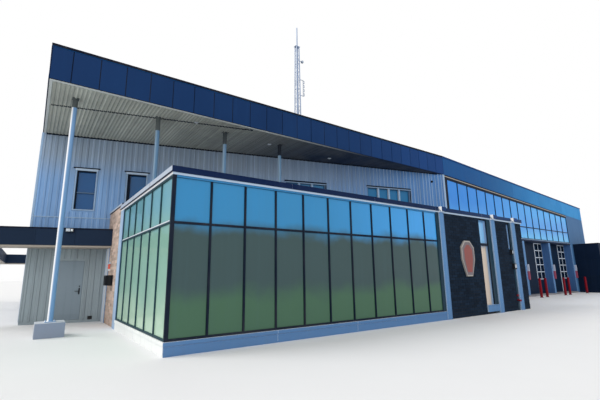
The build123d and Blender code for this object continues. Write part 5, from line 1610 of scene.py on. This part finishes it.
@dataclass
class VehicleBays(SubAssembly):
    """Vehicle bays with their piers, doors, strip glazing and bollards."""

    finishes = {
        Look.REVEAL_METAL: "bay_piers",
        Look.HEADER_METAL: "bay_header",
        Look.STRIP_GLASS: "strip_glass",
        Look.DARK_FRAME: "strip_caps strip_mullions",
        Look.DOOR_DARK: "vehicle_doors",
        Look.DOOR_GLASS: "vehicle_door_glass",
        Look.RED_PAINT: "bollards",
        Look.MARKER_RED: "pier_markers",
    }
    round_nodes = ("bollards",)

    floor: float = 0.10
    head: float = 3.60
    door_face: float = 4.176
    rear_face: float = 25.834
    columns: int = 2
    column_width: float = 0.62
    solid: float = 0.94
    rows: int = 5
    bar: float = 0.08
    bollards: tuple[float, ...] = (3.665, 4.485, 7.645, 8.465, 11.295, 12.075, 15.175)
    bollard_line: float = 2.85
    bollard_top: float = 1.145

    def build(self) -> None:
        """Shapes the pieces."""
        self.grids()
        self.pier_faces()
        self.strip_details()
        self.bollard_tops()

    def doorways(self) -> list[Span]:
        """Left and right edge of each doorway."""
        return [(BAYS + BAY * i + PIER, BAYS + BAY * (i + 1)) for i in range(4)]

    def grids(self) -> None:
        """White bars of the doors' glazed part and joints of their sections, front and back."""
        bars = self.mould("door_grids", Look.DOOR_WHITE)
        joints = self.mould("door_joints", Look.NAVY_SHADE)
        for left, right in self.doorways():
            self.grid(bars, joints, Wall(0.0, self.door_face), left, right, False)
            self.grid(bars, joints, Wall(0.0, self.rear_face, 180.0), left, right, True)

    def grid(
        self, bars: Mould, joints: Mould, wall: Wall, left: float, right: float, mirror: bool
    ) -> None:
        """One door's white bars and the joints of its sections.

        Args:
            bars: takes the bars.
            joints: takes the joints.
            wall: the door's face.
            left: left edge of the doorway, as seen from the front.
            right: its right edge.
            mirror: True at the back, where the wall runs the other way.
        """

        def span(a: float, b: float) -> Span:
            """A stretch of the door, mirrored at the back."""
            return (-b, -a) if mirror else (a, b)

        start = right - self.column_width * self.columns
        bottom = self.floor + self.solid + self.bar / 2
        row = (self.head - self.bar / 2 - bottom) / self.rows
        out = (0.0, 0.010)
        for i in range(self.columns + 1):
            u = start + self.column_width * i
            width = 0.05 if i else 0.07
            low = bottom if i else self.floor + 0.02
            if i == self.columns:
                u -= width / 2 + 0.012
            bars.block(wall, span(*around(u, width / 2)), (low, self.head - 0.03), out)
        for i in range(self.rows + 1):
            bars.block(wall, span(start, right - 0.02), around(bottom + row * i, 0.025), out)
        sections = self.rows + 2
        for i in range(1, sections):
            z = self.floor + (self.head - self.floor) * i / sections
            joints.block(wall, span(left + 0.03, start - 0.04), around(z, 0.006), (0.0, 0.003))

    def pier_faces(self) -> None:
        """Pale faces of the piers, guides of the doors, header trim, a painted shadow strip along the
        header's foot and marker tops.
        """
        pale = self.mould("pier_faces", Look.CLAD_METAL)
        guide = self.mould("door_guides", Look.REVEAL_METAL)
        line = self.mould("header_trim", Look.PALE_LINE, 0.003)
        dark = self.mould("header_drip", Look.NAVY_SHADE)
        tops = self.mould("marker_tops", Look.MARKER_PALE, 0.003)
        low, high, face = self.floor, self.head, self.door_face
        for i in range(5):
            x = BAYS + BAY * i
            span = (x + 0.003, x + PIER - 0.003)
            pale.block(HALL_FRONT, span, (low, high), (0.0, 0.006), 0.3, 0.002)
            tops.block(HALL_FRONT, (x + 0.166, x + 0.254), (1.62, 2.06), (0.0, 0.126))
        pale.block(HALL_FRONT, (KINK, BAYS), (low, high), (0.0, 0.006), 0.0, 0.002)
        for left, right in self.doorways():
            guide.box((left, face - 0.20, low), (left + 0.014, face, high))
            guide.box((right - 0.014, face - 0.20, low), (right, face, high))
            guide.box((left, face - 0.05, low), (left + 0.05, face - 0.002, high))
            guide.box((right - 0.05, face - 0.05, low), (right, face - 0.002, high))
        line.block(HALL_FRONT, (KINK, STRIP_END), (3.718, 3.752), (0.0, 0.020))
        # Painted shadow: dark strip along the header's foot over the doors.
        dark.block(HALL_FRONT, (KINK, STRIP_END), (3.600, 3.645), (0.0, 0.012))

    def strip_details(self) -> None:
        """Cover strips of the strip glazing and the bands under its head: a dark band of painted
        shadow from the fascia and a beige trim line.
        """
        covers = self.mould("strip_covers", Look.DARK_FRAME)
        strip = Wall(0.0, HALL + 0.015)
        for i in range(17):
            x = BAYS + BAY / 4 * i
            covers.rib(strip, around(x, 0.020), (3.76, eave_at(x) - 0.12), 0.008, 0.004)
        # Painted shadow: dark band under the fascia along the glazing's head.
        covers.prism(strip, falling(KINK, STRIP_END, -0.20, -0.115), 0.0, 0.006)
        head = self.mould("head_trim_cover", Look.BEIGE_TRIM)
        head.prism(HALL_FRONT, falling(KINK, STRIP_END, -0.110, -0.060), 0.0, 0.004)

    def bollard_tops(self) -> None:
        """Domed caps and base rings of the bollards."""
        caps = self.mould("bollard_caps", Look.RED_PAINT, smooth=True)
        rings = self.mould("bollard_rings", Look.CONCRETE, smooth=True)
        top = self.bollard_top
        for offset in self.bollards:
            place = (BAYS + offset, self.bollard_line)
            caps.post(place, (top, top + 0.020), 0.0727, 24, 0.062)
            caps.post(place, (top + 0.020, top + 0.036), 0.062, 24, 0.036)
            rings.post(place, (0.0, 0.02), 0.11, 24, 0.10)


@dataclass
class SideBlock(SubAssembly):
    """Low dark block at the right end."""

    finishes = {Look.BLOCK_METAL: "side_block"}

    left: float = 32.40
    right: float = 35.05
    front: float = 2.07
    panel: float = 0.9
    rows: tuple[Span, ...] = ((0.05, 1.20), (1.21, 2.42), (2.43, 3.60))

    def build(self) -> None:
        """Shapes the pieces."""
        panels = self.mould("block_panels", Look.BLOCK_METAL, seed=91)
        depth = HALL - self.front
        for wall, start, end in (
            (Wall(0.0, self.front), self.left, self.right),
            (Wall(self.left, HALL, -90.0), 0.0, depth),
            (Wall(self.right, self.front, 90.0), 0.0, depth),
        ):
            count = round((end - start) / self.panel)
            panels.panels(wall, (start, end), count, 0.005, self.rows, 0.008)
        cap = self.mould("block_cap", Look.NAVY_SHADE, 0.004)
        cap.box((self.left - 0.02, self.front - 0.02, 3.61), (self.right + 0.02, HALL, 3.675))


@dataclass
class Canopy(SubAssembly):
    """Low canopy along the metal wall and round the court."""

    finishes = {
        Look.CANOPY_METAL: "canopy",
        Look.BEIGE_TRIM: "canopy_trim",
        Look.COLUMN_STEEL: "canopy_posts",
    }

    left: float = -4.5
    low: float = 2.64
    high: float = 3.24

    def build(self) -> None:
        """Shapes the pieces."""
        side = Wall(self.left, BACK, -90.0)
        rear = Wall(LEFT, BACK, 180.0)
        start, end = ((x - CANOPY.x) / math.cos(SLANT) for x in (self.left, 0.0))
        length = BACK - (CANOPY.y - (self.left - CANOPY.x) * math.tan(SLANT))
        panels = self.mould("canopy_panels", Look.CANOPY_METAL, seed=101)
        height = (self.low + 0.01, self.high - 0.05)
        panels.panels(CANOPY, (start, end), 4, 0.003, (height,), 0.006)
        panels.panels(side, (0.0, length), 9, 0.003, (height,), 0.006)
        panels.block(rear, (0.003, 2.077), height, (0.0, 0.006), 0.2, 0.002)
        cap = self.mould("canopy_cap", Look.NAVY_SHADE, 0.003)
        height = (self.high - 0.045, self.high + 0.004)
        for wall, span in ((CANOPY, (start, end)), (side, (0.0, length)), (rear, (0.0, 2.08))):
            cap.block(wall, span, height, (-0.10, 0.014))


@dataclass
class Mast(SubAssembly):
    """Lattice mast with its pole and antennas."""

    finishes = {Look.GALVANISED: "mast mast_pole", Look.ANTENNA: "mast_antennas"}

    x: float = 8.390
    y: float = 7.200
    foot: float = 7.850
    top: float = 13.850
    reach: float = 0.1275
    top_reach: float = 0.0775
    plate_ring: float = 0.187

    def build(self) -> None:
        """Shapes the pieces."""
        joints = self.mould("mast_joints", Look.GALVANISED, 0.002)
        for i in range(4):
            turn = math.pi / 4 + i * math.pi / 2
            x = self.x + math.cos(turn) * self.plate_ring
            y = self.y + math.sin(turn) * self.plate_ring
            low = (x - 0.045, y - 0.045, self.foot)
            joints.box(low, (x + 0.045, y + 0.045, self.foot + 0.012))
            for height in (2.0, 4.0):
                share = height / (self.top - self.foot)
                reach = self.reach + (self.top_reach - self.reach) * share
                x = self.x + math.copysign(reach, math.cos(turn))
                y = self.y + math.copysign(reach, math.sin(turn))
                z = self.foot + height
                joints.box((x - 0.026, y - 0.026, z - 0.03), (x + 0.026, y + 0.026, z + 0.03))
        joints.post((self.x, self.y), (self.top + 0.02, self.top + 0.12), 0.045, 16)


@dataclass
class Fittings(SubAssembly):
    """Lamps, camera, downlights, hose inlet, and the box and strobe on the stub wall."""

    stub_zero: float = 8.0
    soffit: float = 6.8815
    downlights: tuple[Span, ...] = ((1.97, 4.40), (5.25, 4.86), (8.56, 4.94))

    def make(self) -> dict[str, bpy.types.Object]:
        """Makes the pieces, which together stand for one CAD node."""
        pieces = super().make()
        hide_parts("fittings")
        return pieces

    def build(self) -> None:
        """Shapes the pieces."""
        dark = self.mould("fittings_dark", Look.LAMP_DARK, 0.004)
        silver = self.mould("fittings_silver", Look.LAMP_SILVER, 0.004)
        pale = self.mould("lamp_lenses", Look.LENS_PALE, 0.002)
        red = self.mould("strobe_lens", Look.LENS_RED, 0.004)
        stub = Wall(0.0, self.stub_zero, -90.0)
        for mould, wall, *shape in (
            (dark, FRONT, (14.195, 14.325), (2.28, 2.48), (0.0, 0.10), 0.0, 0.006),
            (silver, FRONT, (14.235, 14.300), (2.32, 2.44), (0.10, 0.106)),
            (dark, FRONT, (14.280, 14.496), (1.67, 1.91), (0.0, 0.10), 0.0, 0.012),
            (silver, FRONT, (14.315, 14.375), (1.72, 1.87), (0.10, 0.106)),
            (silver, FRONT, (14.400, 14.460), (1.72, 1.87), (0.10, 0.106)),
            (dark, CANOPY, (-17.48, -17.24), (3.09, 3.22), (0.0, 0.09)),
            (silver, CANOPY, (-17.47, -17.33), (3.10, 3.21), (0.09, 0.15), 0.0, 0.01),
            (pale, CANOPY, (-17.32, -17.25), (3.11, 3.20), (0.09, 0.156), 0.0, 0.01),
            (dark, OBLIQUE, (-16.69, -16.55), (0.10, 0.21), (0.0, 0.030)),
            (dark, stub, (1.44, 1.84), (1.27, 1.62), (0.0, 0.216), 0.0, 0.01),
            (dark, stub, (1.47, 1.81), (1.30, 1.59), (0.216, 0.222)),
            (red, stub, (1.12, 1.21), (1.83, 2.00), (0.02, 0.08), 0.0, 0.01),
            (pale, stub, (1.12, 1.21), (1.77, 1.83), (0.0, 0.07)),
            (silver, stub, (1.11, 1.22), (2.00, 2.07), (0.0, 0.07), 0.0, 0.02),
        ):
            mould.block(wall, *shape)
        lens = OBLIQUE.point(-0.88, 6.38, 0.07)
        dark.rod(OBLIQUE.point(-0.88, 6.40, 0.02), lens, 0.07, 20, 0.045)
        for place in self.downlights:
            pale.post(place, (self.soffit - 0.024, self.soffit), 0.055, 24)
            silver.post(place, (self.soffit - 0.0195, self.soffit), 0.080, 24, 0.085)
        inlet = self.mould("hose_inlet", Look.RED_PAINT, smooth=True)
        inlet.block(FRONT, (14.34, 14.46), (0.56, 0.64), (0.0, 0.040))
        for x in (14.36, 14.44):
            bend = Vector((x, -0.09, 0.40))
            inlet.rod(Vector((x, 0.0, 0.42)), bend, 0.032, 20)
            inlet.rod(bend, Vector((x, -0.12, 0.39)), 0.040, 20)


@dataclass
class Studio:
    """Pale floor, soft light and the camera."""

    eye: Vector = field(default_factory=lambda: Vector((-2.299, -7.775, 1.508)))
    yaw: float = 35.7
    pitch: float = 11.53
    roll: float = -0.76
    focal_pixels: float = 372.275
    frame_width: float = 600.0
    sensor: float = 36.0
    floor_size: float = 500.0
    sight: float = 1500.0

    def build(self) -> None:
        """Sets up everything round the building."""
        self.floor()
        self.lamps()
        self.world()
        self.camera()
        bpy.context.scene.view_settings.view_transform = "Standard"

    @staticmethod
    def place(name: str, data: bpy.types.ID) -> bpy.types.Object:
        """Puts an object into the scene."""
        holder = bpy.data.objects.new(name, data)
        bpy.context.scene.collection.objects.link(holder)
        return holder

    def floor(self) -> None:
        """Wide pale floor."""
        mesh = bpy.data.meshes.new("floor")
        size = self.floor_size
        corners = [(-size, -size, 0), (size, -size, 0), (size, size, 0), (-size, size, 0)]
        mesh.from_pydata(corners, [], [(0, 1, 2, 3)])
        material = bpy.data.materials.new("floor_pale")
        material.use_nodes = True
        sheet = Sheet(material.node_tree)
        colour = sheet.mix(sheet.noise(sheet.place(), 0.5), (0.80, 0.80, 0.80), (0.84, 0.84, 0.84))
        shader = sheet.add("ShaderNodeBsdfPrincipled", {"Base Color": colour, "Roughness": 0.9})
        sheet.add("ShaderNodeOutputMaterial", {"Surface": shader.outputs[0]})
        mesh.materials.append(material)
        floor = self.place("floor", mesh)

    def lamps(self) -> None:
        """One broad, soft sun from the left and a weak one from the front."""
        for name, energy, direction, angle in (
            ("key", 1.3, (0.75, -0.42, -0.75), 30.0),
            ("fill", 0.8, (0.25, 0.85, -0.45), 60.0),
        ):
            lamp = bpy.data.lights.new(name, "SUN")
            lamp.energy = energy
            lamp.angle = math.radians(angle)
            aim = Vector(direction).to_track_quat("-Z", "Y").to_euler()
            self.place(name, lamp).rotation_euler = aim

    def world(self) -> None:
        """Even light, and white wherever the camera, mirrors or glass look past the floor."""
        world = bpy.data.worlds.new("studio")
        world.use_nodes = True
        bpy.context.scene.world = world
        sheet = Sheet(world.node_tree)
        path = sheet.add("ShaderNodeLightPath").outputs
        seen = sheet.math("MAXIMUM", path["Is Camera Ray"], path["Is Glossy Ray"])
        seen = sheet.math("MAXIMUM", seen, path["Is Transmission Ray"])
        strength = sheet.math("ADD", 0.72, sheet.math("MULTIPLY", seen, 0.28))
        light = {"Color": (1.0, 1.0, 1.0), "Strength": strength}
        background = sheet.add("ShaderNodeBackground", light)
        sheet.add("ShaderNodeOutputWorld", {"Surface": background.outputs[0]})

    def camera(self) -> None:
        """The photograph's view."""
        yaw, pitch, roll = (math.radians(v) for v in (self.yaw, self.pitch, self.roll))
        level = Vector((math.cos(yaw), -math.sin(yaw), 0.0))
        ahead = math.cos(pitch)
        forward = Vector((math.sin(yaw) * ahead, math.cos(yaw) * ahead, math.sin(pitch)))
        upright = level.cross(forward)
        right = level * math.cos(roll) + upright * math.sin(roll)
        up = upright * math.cos(roll) - level * math.sin(roll)
        lens = bpy.data.cameras.new("photo_view")
        lens.sensor_fit = "HORIZONTAL"
        lens.sensor_width = self.sensor
        lens.lens = self.focal_pixels / self.frame_width * self.sensor
        lens.clip_end = self.sight
        holder = self.place("photo_view", lens)
        turn = Matrix((right, up, -forward)).transposed()
        holder.matrix_world = Matrix.Translation(self.eye) @ turn.to_4x4()
        bpy.context.scene.camera = holder


def main() -> None:
    """Builds the dressed building and its studio."""
    logging.basicConfig(level=logging.INFO, format="%(name)s: %(message)s")
    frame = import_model()
    effects = Effects()
    Studio().build()
    for part in (
        Pavilion, LowRoof, BrickFront, StubWall, MetalWalls, ServiceDoor, MainRoof, Columns,
        VehicleBays, SideBlock, Canopy, Mast, Fittings,
    ):
        LOG.info("building %s", part.__name__)
        part(effects, frame).make()
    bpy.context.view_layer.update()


if __name__ == "__main__":
    main()
